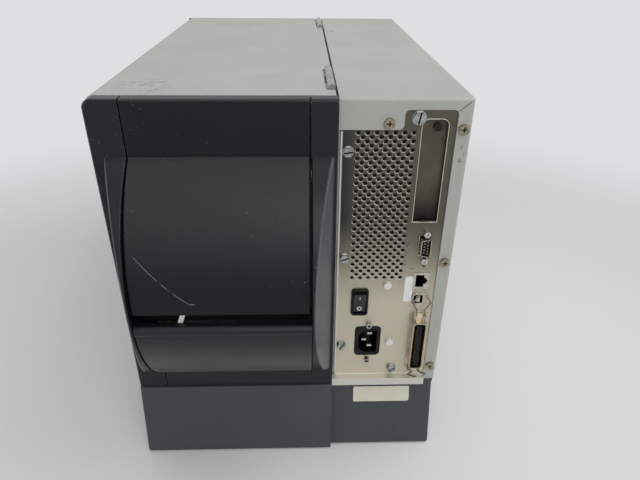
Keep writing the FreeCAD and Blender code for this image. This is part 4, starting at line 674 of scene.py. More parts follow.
# Paint: its pale worn edges are also a painted highlight where the paint's edges catch light.
PAINT = PaintFinish("warm_grey_paint", (0.405, 0.412, 0.378), 0.42, mottle=0.05, grain=0.12,
                    grain_size=1.6, scuffs=0.18, scuff_size=14, scuff_color=(0.2, 0.2, 0.19), edge_wear_and_light=0.45,
                    edge_wear_and_light_color=(0.70, 0.70, 0.66), dust=0.2, dust_color=(0.2, 0.19, 0.17))
COVER_PLASTIC = Finish("dark_cover_plastic", DARK, 0.4, mottle=0.12, grain=0.5, grain_size=0.9, dust=0.35,
                       edge_wear_and_light=0.2, edge_wear_and_light_color=(0.1, 0.105, 0.11), scuffs=0.04, scuff_color=(0.1, 0.1, 0.1),
                       shine=0.3)
# Rails: the pale cheeks and pale worn edges are painted highlights.
RAIL_PLASTIC = RailFinish("rail_plastic_painted_cheek_highlight", (0.0070, 0.0090, 0.0105), 0.33, mottle=0.12, grain=0.25,
                          grain_size=0.9, dust=0.4, edge_wear_and_light=0.5, edge_wear_and_light_reach=0.7,
                          edge_wear_and_light_color=(0.14, 0.145, 0.145), scuffs=0.1, scuff_color=(0.1, 0.1, 0.1),
                          shine=0.32)
PANEL_PLASTIC = ScratchedFinish("scratched_panel_plastic", DARK, 0.4, mottle=0.12, grain=0.5,
                                grain_size=0.9, dust=0.45, edge_wear_and_light=0.2, edge_wear_and_light_color=(0.1, 0.105, 0.11),
                                scuffs=0.06, scuff_color=(0.1, 0.1, 0.1), shine=0.23)
# Lip: paler towards its foot as a painted reflection of the bright floor.
LIP_PLASTIC = GradedFinish("lip_plastic_painted_reflection", DARK, 0.4, mottle=0.15,
                           mottle_color=(0.004, 0.005, 0.006), grain=0.4, grain_size=0.9, dust=0.4,
                           edge_wear_and_light=0.25, edge_wear_and_light_color=(0.13, 0.13, 0.13), scuffs=0.12,
                           scuff_color=(0.1, 0.1, 0.1), shine=0.36, floor_z=93.3)
BASE_PLASTIC = Finish("slate_base_plastic", (0.044, 0.050, 0.055), 0.5, grain=0.3, grain_size=1.1,
                      dust=0.3, edge_wear_and_light=0.2, edge_wear_and_light_color=(0.14, 0.15, 0.155))
# Rear panel: a painted reflection darkens it upwards; its pale hole rims and pale worn edges are painted
# highlights.
PANEL_PLATE = PaintedReflectionFinish("plated_rear_panel", (0.60, 0.55, 0.43), 0.4, metallic=0.45, mottle=0.08,
                              brushed=0.25, edge_wear_and_light=0.3, edge_wear_and_light_reach=0.5, edge_wear_and_light_color=(0.75, 0.73, 0.68),
                              scuffs=0.12, scuff_size=12, scuff_color=(0.3, 0.27, 0.22))
# Slot blank: darker towards its foot as painted shade.
SLOT_PLATE = SlotFinish("tarnished_slot_blank", (0.105, 0.088, 0.066), 0.5, metallic=0.5, mottle=0.5,
                        mottle_size=12, mottle_color=(0.05, 0.04, 0.03), dust=0.5, brushed=0.2, foot_z=240,
                        clear_z=275, painted_foot_tone=(0.010, 0.009, 0.007))
# Slot rim: paler than the panel as a painted highlight of its edge.
RIM_PLATE = Finish("folded_rim_plate", (0.72, 0.68, 0.57), 0.35, slot="plated_sheet", metallic=0.6,
                   mottle=0.4, mottle_size=9, mottle_color=(0.3, 0.27, 0.2))
WALL_PLATE = Finish("plated_wall", (0.55, 0.55, 0.53), 0.4, metallic=0.9, brushed=0.3, scuffs=0.2)
ZINC = Finish("bright_zinc", (0.68, 0.68, 0.66), 0.3, metallic=1.0, mottle=0.15, mottle_size=6, scuffs=0.2,
              scuff_size=6)
WIRE = Finish("dull_bail_wire", (0.36, 0.33, 0.27), 0.3, metallic=1.0, mottle=0.4, mottle_size=5,
              mottle_color=(0.12, 0.11, 0.09))
HINGE_STEEL = Finish("worn_hinge_steel", (0.42, 0.42, 0.40), 0.3, metallic=1.0, mottle=0.5, mottle_size=7,
                     mottle_color=(0.12, 0.12, 0.115), scuffs=0.2, scuff_size=6)
TIN_SHELL = Finish("tinned_shell", (0.58, 0.52, 0.42), 0.28, slot="zinc_hardware", metallic=1.0,
                   mottle=0.2, mottle_size=8)
# Jacks: dark inside, the black moulding and painted shade on the metal together.
JACK = DeepFinish("shielded_jack", (0.66, 0.63, 0.56), 0.3, metallic=1.0, mottle=0.2, mottle_size=5)
GOLD = Finish("gold_contact", (0.72, 0.52, 0.22), 0.25, slot="brass_hardware", metallic=1.0, mottle=0.15,
              mottle_size=2)
LAMP_LENS = Finish("dull_lamp_lens", (0.09, 0.09, 0.07), 0.2, slot="clear_sheet", mottle=0.3,
                   mottle_size=2, coat=0.5)
# Black felt for pieces that stand in for shade: the sheet behind the vents, the seam strips and the slot
# flap; the pierced marks use it too.
SHADOW_FELT = Finish("matte_black_felt", (0.006, 0.006, 0.006), 0.8, slot="black_plastic", mottle=0.2,
                     grain=0.5, grain_size=0.8)
# Screws: painted shade at the bottom of the driver recess.
SCREW = RecessFinish("zinc_screw", (0.47, 0.49, 0.48), 0.25, metallic=1.0, mottle=0.7, mottle_size=3,
                     mottle_color=(0.2, 0.2, 0.19))
BRASS = RecessFinish("yellow_passivated_steel", (0.44, 0.385, 0.29), 0.22, metallic=1.0, mottle=0.8,
                     mottle_size=3, mottle_color=(0.15, 0.12, 0.08))
NYLON = Finish("turned_white_nylon", (0.72, 0.72, 0.68), 0.45, slot="white_nylon", mottle=0.06,
               mottle_size=8, dust=0.2)
BLACK = Finish("black_moulded_plastic", (0.004, 0.004, 0.0042), 0.42, grain=0.2, grain_size=0.7, dust=0.15,
               shine=0.24)
ROCKER = Finish("rocker_plastic", (0.015, 0.015, 0.016), 0.35, grain=0.15, grain_size=0.7)
RUBBER = Finish("black_rubber", (0.018, 0.018, 0.018), 0.75, grain=0.3, dust=0.3)
PLATEN_RUBBER = Finish("platen_rubber", (0.03, 0.032, 0.034), 0.6, grain=0.2, grain_size=0.6)
BELT = Finish("ribbed_belt_rubber", (0.015, 0.015, 0.015), 0.7, grain=0.3, grain_size=0.8)
CLEAR = Finish("smoked_clear_sheet", (0.84, 0.87, 0.88), 0.04, mottle=0.02, clear=1.0)
LENS = Finish("display_glass", (0.03, 0.05, 0.045), 0.12, mottle=0.2, mottle_size=30, coat=0.6)
BOARD = Finish("green_circuit_board", (0.02, 0.11, 0.05), 0.4, mottle=0.3, mottle_size=9, coat=0.3)
MOTOR = Finish("motor_casing", (0.05, 0.05, 0.052), 0.4, metallic=0.6, brushed=0.4, mottle=0.2)
ALUMINIUM = Finish("satin_bare_aluminium", (0.70, 0.70, 0.69), 0.36, metallic=1.0, brushed=0.35,
                   scuffs=0.15)
CERAMIC = Finish("glazed_ceramic", (0.62, 0.60, 0.53), 0.2, mottle=0.08, mottle_size=12, coat=0.4)
GUIDE = Finish("ochre_guide_plastic", (0.34, 0.22, 0.06), 0.45, grain=0.2, grain_size=0.9)
KEYS = Finish("grey_key_plastic", (0.30, 0.31, 0.31), 0.5, mottle=0.06, grain=0.25, grain_size=0.6)
PAPER = Finish("bare_cream_label", (0.65, 0.625, 0.52), 0.5, slot="key_plastic", mottle=0.08,
               mottle_size=14, dust=0.25)
WHITE_PAPER = Finish("bare_white_sticker", (0.80, 0.80, 0.78), 0.5, slot="key_plastic", mottle=0.06,
                     mottle_size=5)
FRAME_PLASTIC = Finish("satin_frame_plastic", (0.05, 0.053, 0.056), 0.4, slot="dark_moulding", grain=0.25,
                       grain_size=0.7, edge_wear_and_light=0.2, edge_wear_and_light_color=(0.2, 0.2, 0.2))
STATUS_LENS = Finish("amber_lamp_lens", (0.35, 0.16, 0.03), 0.2, slot="clear_sheet", mottle=0.15,
                     mottle_size=2, coat=0.6)
MARK = Finish("white_mark_paint", (0.78, 0.78, 0.76), 0.5, slot="white_nylon", mottle=0.05, mottle_size=2)

NODE_FINISHES: dict[Finish, tuple[str, ...]] = {
    PAINT: ("electronics_cover", "media_door"),
    COVER_PLASTIC: ("front_fascia", "control_panel"),
    RAIL_PLASTIC: ("rear_cover_inner_rail", "rear_cover_outer_rail"),
    LIP_PLASTIC: ("fanfold_lip",),
    PANEL_PLASTIC: ("rear_cover_panel",),
    BASE_PLASTIC: ("base_tray",),
    PANEL_PLATE: ("rear_panel",),
    SLOT_PLATE: ("option_slot_cover",),
    WALL_PLATE: ("chassis_wall",),
    HINGE_STEEL: ("hinge_door_leaves", "hinge_fixed_leaves", "hinge_pins"),
    WIRE: ("lower_bail", "upper_bail"),
    ZINC: ("mains_inlet_pins", "platen_bearings", "platen_shaft", "serial_jackscrews", "tear_bar"),
    SCREW: ("panel_screws", "inlet_studs"),
    TIN_SHELL: ("serial_port_shell", "parallel_port_shell"),
    JACK: ("network_jack", "usb_port"),
    BRASS: ("cover_screws",),
    NYLON: ("nylon_posts",),
    BLACK: ("mains_inlet", "power_switch_housing", "parallel_port_insert", "serial_port_insert"),
    ROCKER: ("power_rocker",),
    RUBBER: ("rubber_feet",),
    PLATEN_RUBBER: ("platen_roller",),
    BELT: ("drive_belt",),
    CLEAR: ("door_window",),
    LENS: ("display_lens",),
    BOARD: ("logic_board", "power_supply_board"),
    MOTOR: ("drive_motor",),
    ALUMINIUM: ("motor_pulley", "platen_pulley", "print_frame", "printhead_carrier", "ribbon_supply_spindle",
                "ribbon_takeup_spindle", "support_pillars"),
    CERAMIC: ("printhead",),
    GUIDE: ("dancer_arm", "head_lever", "media_guide", "media_hanger", "media_supply_guide"),
    KEYS: ("cancel_key", "feed_key", "pause_key", "select_key"),
}


def about(middle: float, half: float) -> Span:
    """Gives the span that reaches as far to both sides of a middle."""
    return (middle - half, middle + half)


def grown(span: Span, more: float) -> Span:
    """Gives a span made longer at both ends."""
    return (span[0] - more, span[1] + more)


def pick(*pieces: Piece) -> None:
    """Selects some pieces and nothing else, so that an operator acts on them alone.

    Args:
        pieces: the pieces, the first of which becomes active.
    """
    bpy.ops.object.select_all(action="DESELECT")
    for piece in pieces:
        piece.select_set(True)
    if pieces:
        bpy.context.view_layer.objects.active = pieces[0]


def named(name: str) -> Piece:
    """Applies the place of the new primitive to its mesh and names it.

    Args:
        name: the piece's name.

    Returns:
        The named piece.
    """
    piece = bpy.context.active_object
    piece.name = name
    piece.data.name = name
    bpy.ops.object.transform_apply(location=True, rotation=True, scale=True)
    return piece


def add_block(name: str, x: Span, y: Span, z: Span) -> Piece:
    """Adds a block to be shaped further.

    Args:
        name: the piece's name.
        x: its lowest and highest x in millimetres.
        y: its lowest and highest y in millimetres.
        z: its lowest and highest z in millimetres.

    Returns:
        The block.
    """
    pick()
    start, end = (mm(*corner) for corner in zip(x, y, z))
    bpy.ops.mesh.primitive_cube_add(size=1.0, location=(start + end) / 2, scale=end - start)
    return named(name)


def add_round(name: str, centre: Place, radius: float, long: float, sides: int = 32) -> Piece:
    """Adds a round bar along Y to be shaped further.

    Args:
        name: the piece's name.
        centre: its middle in millimetres.
        radius: its radius in millimetres.
        long: its length in millimetres.
        sides: how many sides it has.

    Returns:
        The bar.
    """
    pick()
    bpy.ops.mesh.primitive_cylinder_add(vertices=sides, radius=radius * MM, depth=long * MM,
                                        location=mm(*centre), rotation=(-math.pi / 2, 0, 0))
    return named(name)


def edit(piece: Piece, kind: Part, chosen: Callable[[object], bool], work: Callable[[], object]) -> None:
    """Selects some of a piece's faces or edges in edit mode and works on them.

    Args:
        piece: the piece to shape.
        kind: whether faces or edges are selected.
        chosen: tells which of them are worked on.
        work: runs the operators.
    """
    pick(piece)
    bpy.ops.object.mode_set(mode="EDIT")
    bpy.ops.mesh.select_mode(type=kind.value)
    bpy.ops.mesh.select_all(action="DESELECT")
    shape = bmesh.from_edit_mesh(piece.data)
    for part in shape.faces if kind is Part.FACES else shape.edges:
        part.select_set(chosen(part))
    bmesh.update_edit_mesh(piece.data)
    work()
    bpy.ops.object.mode_set(mode="OBJECT")


def along(edge: bmesh.types.BMEdge, axis: Axis) -> bool:
    """Tells whether an edge runs along an axis."""
    run = (edge.verts[1].co - edge.verts[0].co).normalized()
    return abs(run[axis.index]) > STRAIGHT


def round_edges(piece: Piece, axis: Axis, radius: float, steps: int = 5, above: float = 0.0) -> None:
    """Rounds the edges that run along an axis above a height, in millimetres."""
    edit(piece, Part.EDGES, lambda edge: along(edge, axis) and edge.verts[0].co.z > above * MM,
         lambda: bpy.ops.mesh.bevel(offset=radius * MM, segments=steps, affect="EDGES"))


def open_middle(piece: Piece, wall: float) -> None:
    """Cuts a piece through along Y.

    Args:
        piece: the piece to open.
        wall: how many millimetres are left all round.
    """
    def work() -> None:
        """Insets both end faces and joins the insets."""
        bpy.ops.mesh.inset(thickness=wall * MM, use_individual=True)
        bpy.ops.mesh.bridge_edge_loops()
    edit(piece, Part.FACES, lambda face: abs(face.normal.y) > STRAIGHT, work)


def inset_end(piece: Piece, way: int, wall: float) -> None:
    """Insets the end that looks along Y, forwards or back as the way is 1 or -1, by millimetres."""
    edit(piece, Part.FACES, lambda face: way * face.normal.y > STRAIGHT,
         lambda: bpy.ops.mesh.inset(thickness=wall * MM))


def soften(piece: Piece, radius: float, steps: int = 2) -> None:
    """Bevels the sharp edges with an applied modifier and smooths the shading.

    Args:
        piece: the piece to soften.
        radius: the bevel's width in millimetres.
        steps: how many faces it has across.
    """
    pick(piece)
    bevel = piece.modifiers.new("soft_edges", "BEVEL")
    bevel.width = radius * MM
    bevel.segments = steps
    bevel.limit_method = "ANGLE"
    bpy.ops.object.modifier_apply(modifier=bevel.name)
    bpy.ops.object.shade_smooth_by_angle(angle=math.radians(SMOOTH_ANGLE))


def turn_piece(piece: Piece, degrees: float, axis: Axis, pivot: Place) -> None:
    """Turns a piece in its mesh.

    Args:
        piece: the piece to turn.
        degrees: how far it turns.
        axis: the axis that it turns about.
        pivot: a place on that axis in millimetres.
    """
    hub = Matrix.Translation(mm(*pivot))
    turn = Matrix.Rotation(math.radians(degrees), 4, axis.value)
    piece.data.transform(hub @ turn @ hub.inverted())


def joined(pieces: list[Piece]) -> Piece:
    """Joins pieces.

    Args:
        pieces: the pieces.

    Returns:
        The first of them, which holds all.
    """
    pick(*pieces)
    bpy.ops.object.join()
    return pieces[0]


def repeat(piece: Piece, shifts: Iterable[Place]) -> Piece:
    """Copies a piece to more places and joins all into one.

    Args:
        piece: the piece, modelled once.
        shifts: where each copy goes, in millimetres from the piece.

    Returns:
        The joined piece.
    """
    copies = []
    for shift in shifts:
        copy = piece.copy()
        copy.data = piece.data.copy()
        copy.data.transform(Matrix.Translation(mm(*shift)))
        bpy.context.scene.collection.objects.link(copy)
        copies.append(copy)
    return joined([piece, *copies])


def stacked(piece: Piece, pitch: float, count: int) -> Piece:
    """Repeats a piece upwards at a pitch in millimetres."""
    return repeat(piece, [(0, 0, pitch * step) for step in range(1, count)])


def scattered(piece: Piece, places: Iterable[Span]) -> Piece:
    """Repeats a piece that stands at the first of some (x, z) places at all the others."""
    (first_x, first_z), *others = places
    return repeat(piece, [(x - first_x, 0, z - first_z) for x, z in others])


def settle(piece: Piece, finish: Finish, body: str = "chassis") -> None:
    """Gives a finished piece its material and the body that carries it.

    Args:
        piece: the finished piece.
        finish: its finish.
        body: the body that it rides on.
    """
    piece.data.materials.clear()
    piece.data.materials.append(finish.material())
    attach(piece, body)
    LOG.info("piece %s rides on %s", piece.name, body)


@dataclass
class BareLabels:
    """The small sticker beside the ports and the larger bare label on the base, both left blank."""

    panel_y: float = 175.1
    sticker_x: Span = (-107.5, -100.6)
    sticker_z: Span = (162.0, 188.0)
    sticker_round: float = 2.2
    base_x: Span = (-115.0, -61.4)
    base_z: Span = (47.1, 63.4)
    base_round: float = 1.8
    skirt_y: float = 189.8
    skirt_foot: float = 2.0
    skirt_slope: float = 15.3 / 67.0
    thick: float = 0.16
    sunk: float = 0.04
    soft: float = 0.05

    def build(self) -> None:
        """Makes both labels."""
        front = (self.panel_y, self.panel_y + self.thick)
        sticker = add_block("blank_sticker", self.sticker_x, front, self.sticker_z)
        round_edges(sticker, Axis.Y, self.sticker_round)
        soften(sticker, self.soft, 1)
        settle(sticker, WHITE_PAPER)
        middle = sum(self.base_z) / 2
        face = self.skirt_y - (middle - self.skirt_foot) * self.skirt_slope
        label = add_block("blank_base_label", self.base_x, (face - self.sunk, face + self.thick), self.base_z)
        round_edges(label, Axis.Y, self.base_round)
        soften(label, self.soft, 1)
        turn_piece(label, math.degrees(math.atan(self.skirt_slope)), Axis.X, (0, face, middle))
        settle(label, PAPER)


@dataclass
class SwitchMarks:
    """The ring and the bar on the two halves of the power rocker."""

    pivot: Place = (-63.0, 173.1, 162.4)
    tilt: float = -10.0
    slope: float = 8.0
    offset: float = 6.2
    face: float = 4.02
    high: float = 0.14
    ring_radius: float = 2.1
    ring_wall: float = 0.75
    bar_half_wide: float = 0.3
    bar_half_long: float = 1.7

    def build(self) -> None:
        """Makes both marks."""
        x, y, z = self.pivot
        front = y + self.face
        lower, upper = z - self.offset, z + self.offset
        ring = add_round("rocker_ring_mark", (x, front, lower), self.ring_radius, 2 * self.high)
        open_middle(ring, self.ring_wall)
        soften(ring, 0.04, 1)
        turn_piece(ring, self.slope, Axis.X, (x, front, lower))
        bar = add_block("rocker_bar_mark", about(x, self.bar_half_wide), about(front, self.high),
                        about(upper, self.bar_half_long))
        soften(bar, 0.06)
        turn_piece(bar, -self.slope, Axis.X, (x, front, upper))
        for mark in (ring, bar):
            turn_piece(mark, self.tilt, Axis.X, self.pivot)
            settle(mark, MARK, "rocker")


@dataclass
class PanelTrim:
    """What sits on and behind the perforated panel: slot rim, the black sheet that stands in for shade behind
    the vents, indicator and contacts.
    """

    panel_y: float = 175.1
    slot_x: Span = (-120.6, -101.5)
    slot_z: Span = (239.8, 322.8)
    slot_round: float = 5.0
    rim: float = 0.55
    rim_y: Span = (174.5, 175.5)
    screen_x: Span = (-99.0, -53.0)
    screen_y: Span = (171.0, 172.4)
    screen_z: Span = (184.5, 316.0)
    screen_round: float = 3.0
    lamp: Place = (-114.7, 174.7, 198.2)
    lamp_radius: float = 1.35
    lamp_long: float = 2.4
    lamp_rim: float = 0.5
    contact_x: Span = (-110.4, -109.9)
    contact_y: Span = (164.1, 172.1)
    contact_z: Span = (179.9, 180.3)
    contact_pitch: float = 1.02
    contact_count: int = 8
    tongue_x: float = -116.0
    tongue_z: float = 118.5
    tongue_half: float = 2.1
    strip_y: Span = (175.5, 182.7)
    strip_out: float = 0.25
    strip_sunk: float = 0.1
    strip_high: float = 1.1
    strip_pitch: float = 2.16
    strip_count: int = 18
    serial: Place = (-113.7, 178.5, 218.0)
    pin_row: float = 1.4
    pin_pitch: float = 2.74
    pin_radius: float = 0.5
    pin_long: float = 2.8
    dots: tuple[Span, ...] = ((-99.8, 220.2), (-99.5, 217.5), (-99.3, 212.0), (-99.0, 208.6), (-98.9, 203.6),
                              (-99.2, 200.0), (-105.0, 195.7))
    dot_radius: float = 0.55
    dot_high: float = 0.3

    def build(self) -> None:
        """Makes the trim of the panel."""
        self.build_rim()
        self.build_screen()
        self.build_lamp()
        self.build_contacts()
        self.build_strips()
        self.build_pins()
        self.build_dots()

    def build_rim(self) -> None:
        """Makes the folded rim round the option slot, square at the foot; its pale plate is a painted
        highlight of the edge.
        """
        rim = add_block("slot_rim", grown(self.slot_x, self.rim), self.rim_y, grown(self.slot_z, self.rim))
        round_edges(rim, Axis.Y, self.slot_round + self.rim, 8, above=sum(self.slot_z) / 2)
        open_middle(rim, self.rim)
        soften(rim, 0.15)
        settle(rim, RIM_PLATE)

    def build_screen(self) -> None:
        """Makes the black sheet behind the vent holes, which stands in for the shade inside them."""
        screen = add_block("vent_shade_sheet", self.screen_x, self.screen_y, self.screen_z)
        round_edges(screen, Axis.Y, self.screen_round)
        soften(screen, 0.3)
        settle(screen, SHADOW_FELT)

    def build_lamp(self) -> None:
        """Makes the small indicator that looks through its hole in the panel."""
        lamp = add_round("link_indicator", self.lamp, self.lamp_radius, self.lamp_long, 24)
        inset_end(lamp, 1, self.lamp_rim)
        soften(lamp, 0.3, 3)
        settle(lamp, LAMP_LENS)

    def build_contacts(self) -> None:
        """Makes the eight sprung contacts in the network jack."""
        contact = add_block("network_contacts", self.contact_x, self.contact_y, self.contact_z)
        soften(contact, 0.1, 1)
        settle(stacked(contact, self.contact_pitch, self.contact_count), GOLD)

    def build_strips(self) -> None:
        """Makes the two rows of contact strips on the parallel port's tongue."""
        side = self.tongue_x + self.tongue_half
        first = self.tongue_z - (self.strip_count - 1) / 2 * self.strip_pitch
        strips = add_block("parallel_contacts", (side - self.strip_sunk, side + self.strip_out), self.strip_y,
                           about(first, self.strip_high / 2))
        soften(strips, 0.1, 1)
        strips = repeat(strips, [(self.strip_sunk - self.strip_out - 2 * self.tongue_half, 0, 0)])
        settle(stacked(strips, self.strip_pitch, self.strip_count), GOLD)

    def build_pins(self) -> None:
        """Makes the nine pins of the serial port, in two rows."""
        x, y, z = self.serial
        places = [(x - self.pin_row, z + step * self.pin_pitch) for step in (-2, -1, 0, 1, 2)]
        places += [(x + self.pin_row, z + step * self.pin_pitch) for step in (-1.5, -0.5, 0.5, 1.5)]
        pin = add_round("serial_pins", (places[0][0], y, places[0][1]), self.pin_radius, self.pin_long, 16)
        soften(pin, 0.2)
        settle(scattered(pin, places), TIN_SHELL)

    def build_dots(self) -> None:
        """Makes the small pierced marks beside the vents, each a low dark dome."""
        x, z = self.dots[0]
        dot = add_round("pierced_marks", (x, self.panel_y, z), self.dot_radius, self.dot_high, 12)
        soften(dot, 0.12)
        settle(scattered(dot, self.dots), SHADOW_FELT)


@dataclass
class SlotLeaf:
    """The leaf spring that shows in the fan-fold slot, fixed behind the curved panel."""

    centre: Place = (76.2, 229.1, 187.5)
    wide: float = 3.6
    thick: float = 0.5
    below: float = 8.0
    above: float = 14.0
    corner: float = 0.8
    lean: float = -19.0

    def build(self) -> None:
        """Makes the leaf with a rounded foot."""
        x, y, z = self.centre
        leaf = add_block("slot_leaf", about(x, self.wide / 2), about(y, self.thick / 2),
                         (z - self.below, z + self.above))
        round_edges(leaf, Axis.Y, self.corner, 3)
        soften(leaf, 0.1, 1)
        turn_piece(leaf, self.lean, Axis.Y, self.centre)
        settle(leaf, NYLON)


@dataclass
class ShadeFlap:
    """The black flap that hangs behind the fan-fold slot, a dark sheet that stands in for the shade inside it
    and keeps light out.
    """

    x: Span = (-18.5, 108.5)
    y: Span = (225.4, 226.4)
    z: Span = (176.0, 222.0)
    corner: float = 4.0
    lean: float = -12.0

    def build(self) -> None:
        """Makes the flap with its rounded corners."""
        flap = add_block("slot_shade_flap", self.x, self.y, self.z)
        round_edges(flap, Axis.Y, self.corner, 4)
        soften(flap, 0.3)
        turn_piece(flap, self.lean, Axis.X, (0, self.y[1], self.z[1]))
        settle(flap, SHADOW_FELT)


@dataclass
class SeamStrips:
    """The black strips behind the seams of the covers, which keep light out of the media bay and stand in for
    the shade behind the seams.
    """

    curved: tuple[tuple[str, Span], ...] = (
        ("inner_seam_strip", (-21.2, -12.0)),
        ("outer_seam_strip", (102.3, 111.4)),
    )
    straight: tuple[tuple[str, Span, Span, Span], ...] = (
        ("rear_corner_strip", (-40.9, -36.4), (166.0, 179.3), (78.0, 334.0)),
        ("front_seam_strip", (-43.6, -36.5), (-225.6, -221.2), (82.0, 330.0)),
    )
    corner: float = 1.0
    axis: Span = (111.3, 198.6)
    radius: Span = (116.4, 118.3)
    angles: Span = (-1.0, 55.0)
    first_half: float = 0.2
    flat_y: Span = (177.6, 179.2)
    flat_z: Span = (293.0, 335.0)
    steps: int = 28

    def build(self) -> None:
        """Makes the curved strips and the straight ones."""
        for name, across in self.curved:
            self.build_curved(name, across)
        for name, x, y, z in self.straight:
            strip = add_block(name, x, y, z)
            round_edges(strip, Axis.Z, self.corner, 3)
            soften(strip, 0.3)
            settle(strip, SHADOW_FELT)

    def build_curved(self, name: str, across: Span) -> None:
        """Makes one strip that follows the curved panel and the flat stretch above it.

        Args:
            name: the strip's name.
            across: its lowest and highest x in millimetres.
        """
        y, z = self.axis
        low, high = self.radius
        bent = add_block(name, across, (y + low, y + high), about(z, self.first_half))
        turn_piece(bent, self.angles[0], Axis.X, (0, y, z))
        sweep = math.radians(self.angles[0] - self.angles[1])
        edit(bent, Part.FACES, lambda face: face.normal.z > STRAIGHT,
             lambda: bpy.ops.mesh.spin(steps=self.steps, angle=sweep, center=mm(0, y, z), axis=(1, 0, 0)))
        edit(bent, Part.FACES, lambda face: True, lambda: bpy.ops.mesh.normals_make_consistent(inside=False))
        flat = add_block(f"{name}_flat", across, self.flat_y, self.flat_z)
        soften(flat, 0.3)
        strip = joined([bent, flat])
        soften(strip, 0.2, 1)
        settle(strip, SHADOW_FELT)


@dataclass
class FrontTrim:
    """What finishes the front: a frame round the display, one round the label exit, lamps and key marks."""

    frame_y: Span = (-237.2, -235.6)
    lens_x: Span = (-121.0, -55.0)
    lens_z: Span = (269.0, 303.0)
    lens_wall: float = 3.2
    lens_round: float = 4.0
    exit_x: Span = (-28.0, 104.0)
    exit_z: Span = (104.0, 172.0)
    exit_wall: float = 4.0
    exit_round: float = 9.0
    column_x: tuple[float, ...] = (-114.0, -88.0, -62.0)
    lamp_y: float = -236.2
    lamp_z: float = 254.0
    lamp_radius: float = 2.4
    lamp_long: float = 1.6
    lamp_rim: float = 0.8
    key_z: float = 232.0
    select_z: float = 200.0
    mark_y: Span = (-237.62, -237.3)
    bar_x: Span = (-2.6, -1.0)
    bar_apart: float = 3.6
    bar_half_long: float = 3.2
    arrow_rise: float = 0.6
    arrow_radius: float = 3.6
    stroke_half_long: float = 3.4
    stroke_half_wide: float = 0.7
    ring_radius: float = 3.4
    ring_wall: float = 1.1

    def build(self) -> None:
        """Makes the frames, the lamps and the marks."""
        self.build_frame("display_frame", self.lens_x, self.lens_z, self.lens_wall, self.lens_round)
        self.build_frame("label_exit_frame", self.exit_x, self.exit_z, self.exit_wall, self.exit_round)
        self.build_lamps()
        self.build_marks()

    def build_frame(self, name: str, x: Span, z: Span, wall: float, corner: float) -> None:
        """Makes one raised frame round an opening.

        Args:
            name: the piece's name.
            x: the opening's sides.
            z: the opening's foot and top.
            wall: how wide the frame is.
            corner: the radius of its corners.
        """
        frame = add_block(name, grown(x, wall), self.frame_y, grown(z, wall))
        round_edges(frame, Axis.Y, corner, 6)
        open_middle(frame, wall)
        soften(frame, 0.5, 3)
        settle(frame, FRAME_PLASTIC)

    def build_lamps(self) -> None:
        """Makes the three status lamps between the display and the keys, each a low dome."""
        for number, x in enumerate(self.column_x, 1):
            lamp = add_round(f"status_lamp_{number}", (x, self.lamp_y, self.lamp_z), self.lamp_radius,
                             self.lamp_long, 24)
            inset_end(lamp, -1, self.lamp_rim)
            soften(lamp, 0.5, 3)
            settle(lamp, STATUS_LENS)

    def build_marks(self) -> None:
        """Makes the plain marks of the four keys: two bars, an arrow head, a cross and a ring."""
        low, high = self.mark_y
        middle = (low + high) / 2
        cancel, feed, pause = self.column_x
        bars = add_block("pause_mark", (pause + self.bar_x[0], pause + self.bar_x[1]), self.mark_y,
                         about(self.key_z, self.bar_half_long))
        soften(bars, 0.08, 1)
        settle(repeat(bars, [(self.bar_apart, 0, 0)]), MARK, "key_pause")
        arrow_place = (feed, middle, self.key_z + self.arrow_rise)
        arrow = add_round("feed_mark", arrow_place, self.arrow_radius, high - low, 3)
        soften(arrow, 0.08, 1)
        settle(arrow, MARK, "key_feed")
        strokes = []
        for turn in (45, -45):
            stroke = add_block("cancel_mark", about(cancel, self.stroke_half_long), self.mark_y,
                               about(self.key_z, self.stroke_half_wide))
            soften(stroke, 0.08, 1)
            turn_piece(stroke, turn, Axis.Y, (cancel, 0, self.key_z))
            strokes.append(stroke)
        settle(joined(strokes), MARK, "key_cancel")
        ring = add_round("select_mark", (feed, middle, self.select_z), self.ring_radius, high - low)
        open_middle(ring, self.ring_wall)
        soften(ring, 0.06, 1)
        settle(ring, MARK, "key_select")


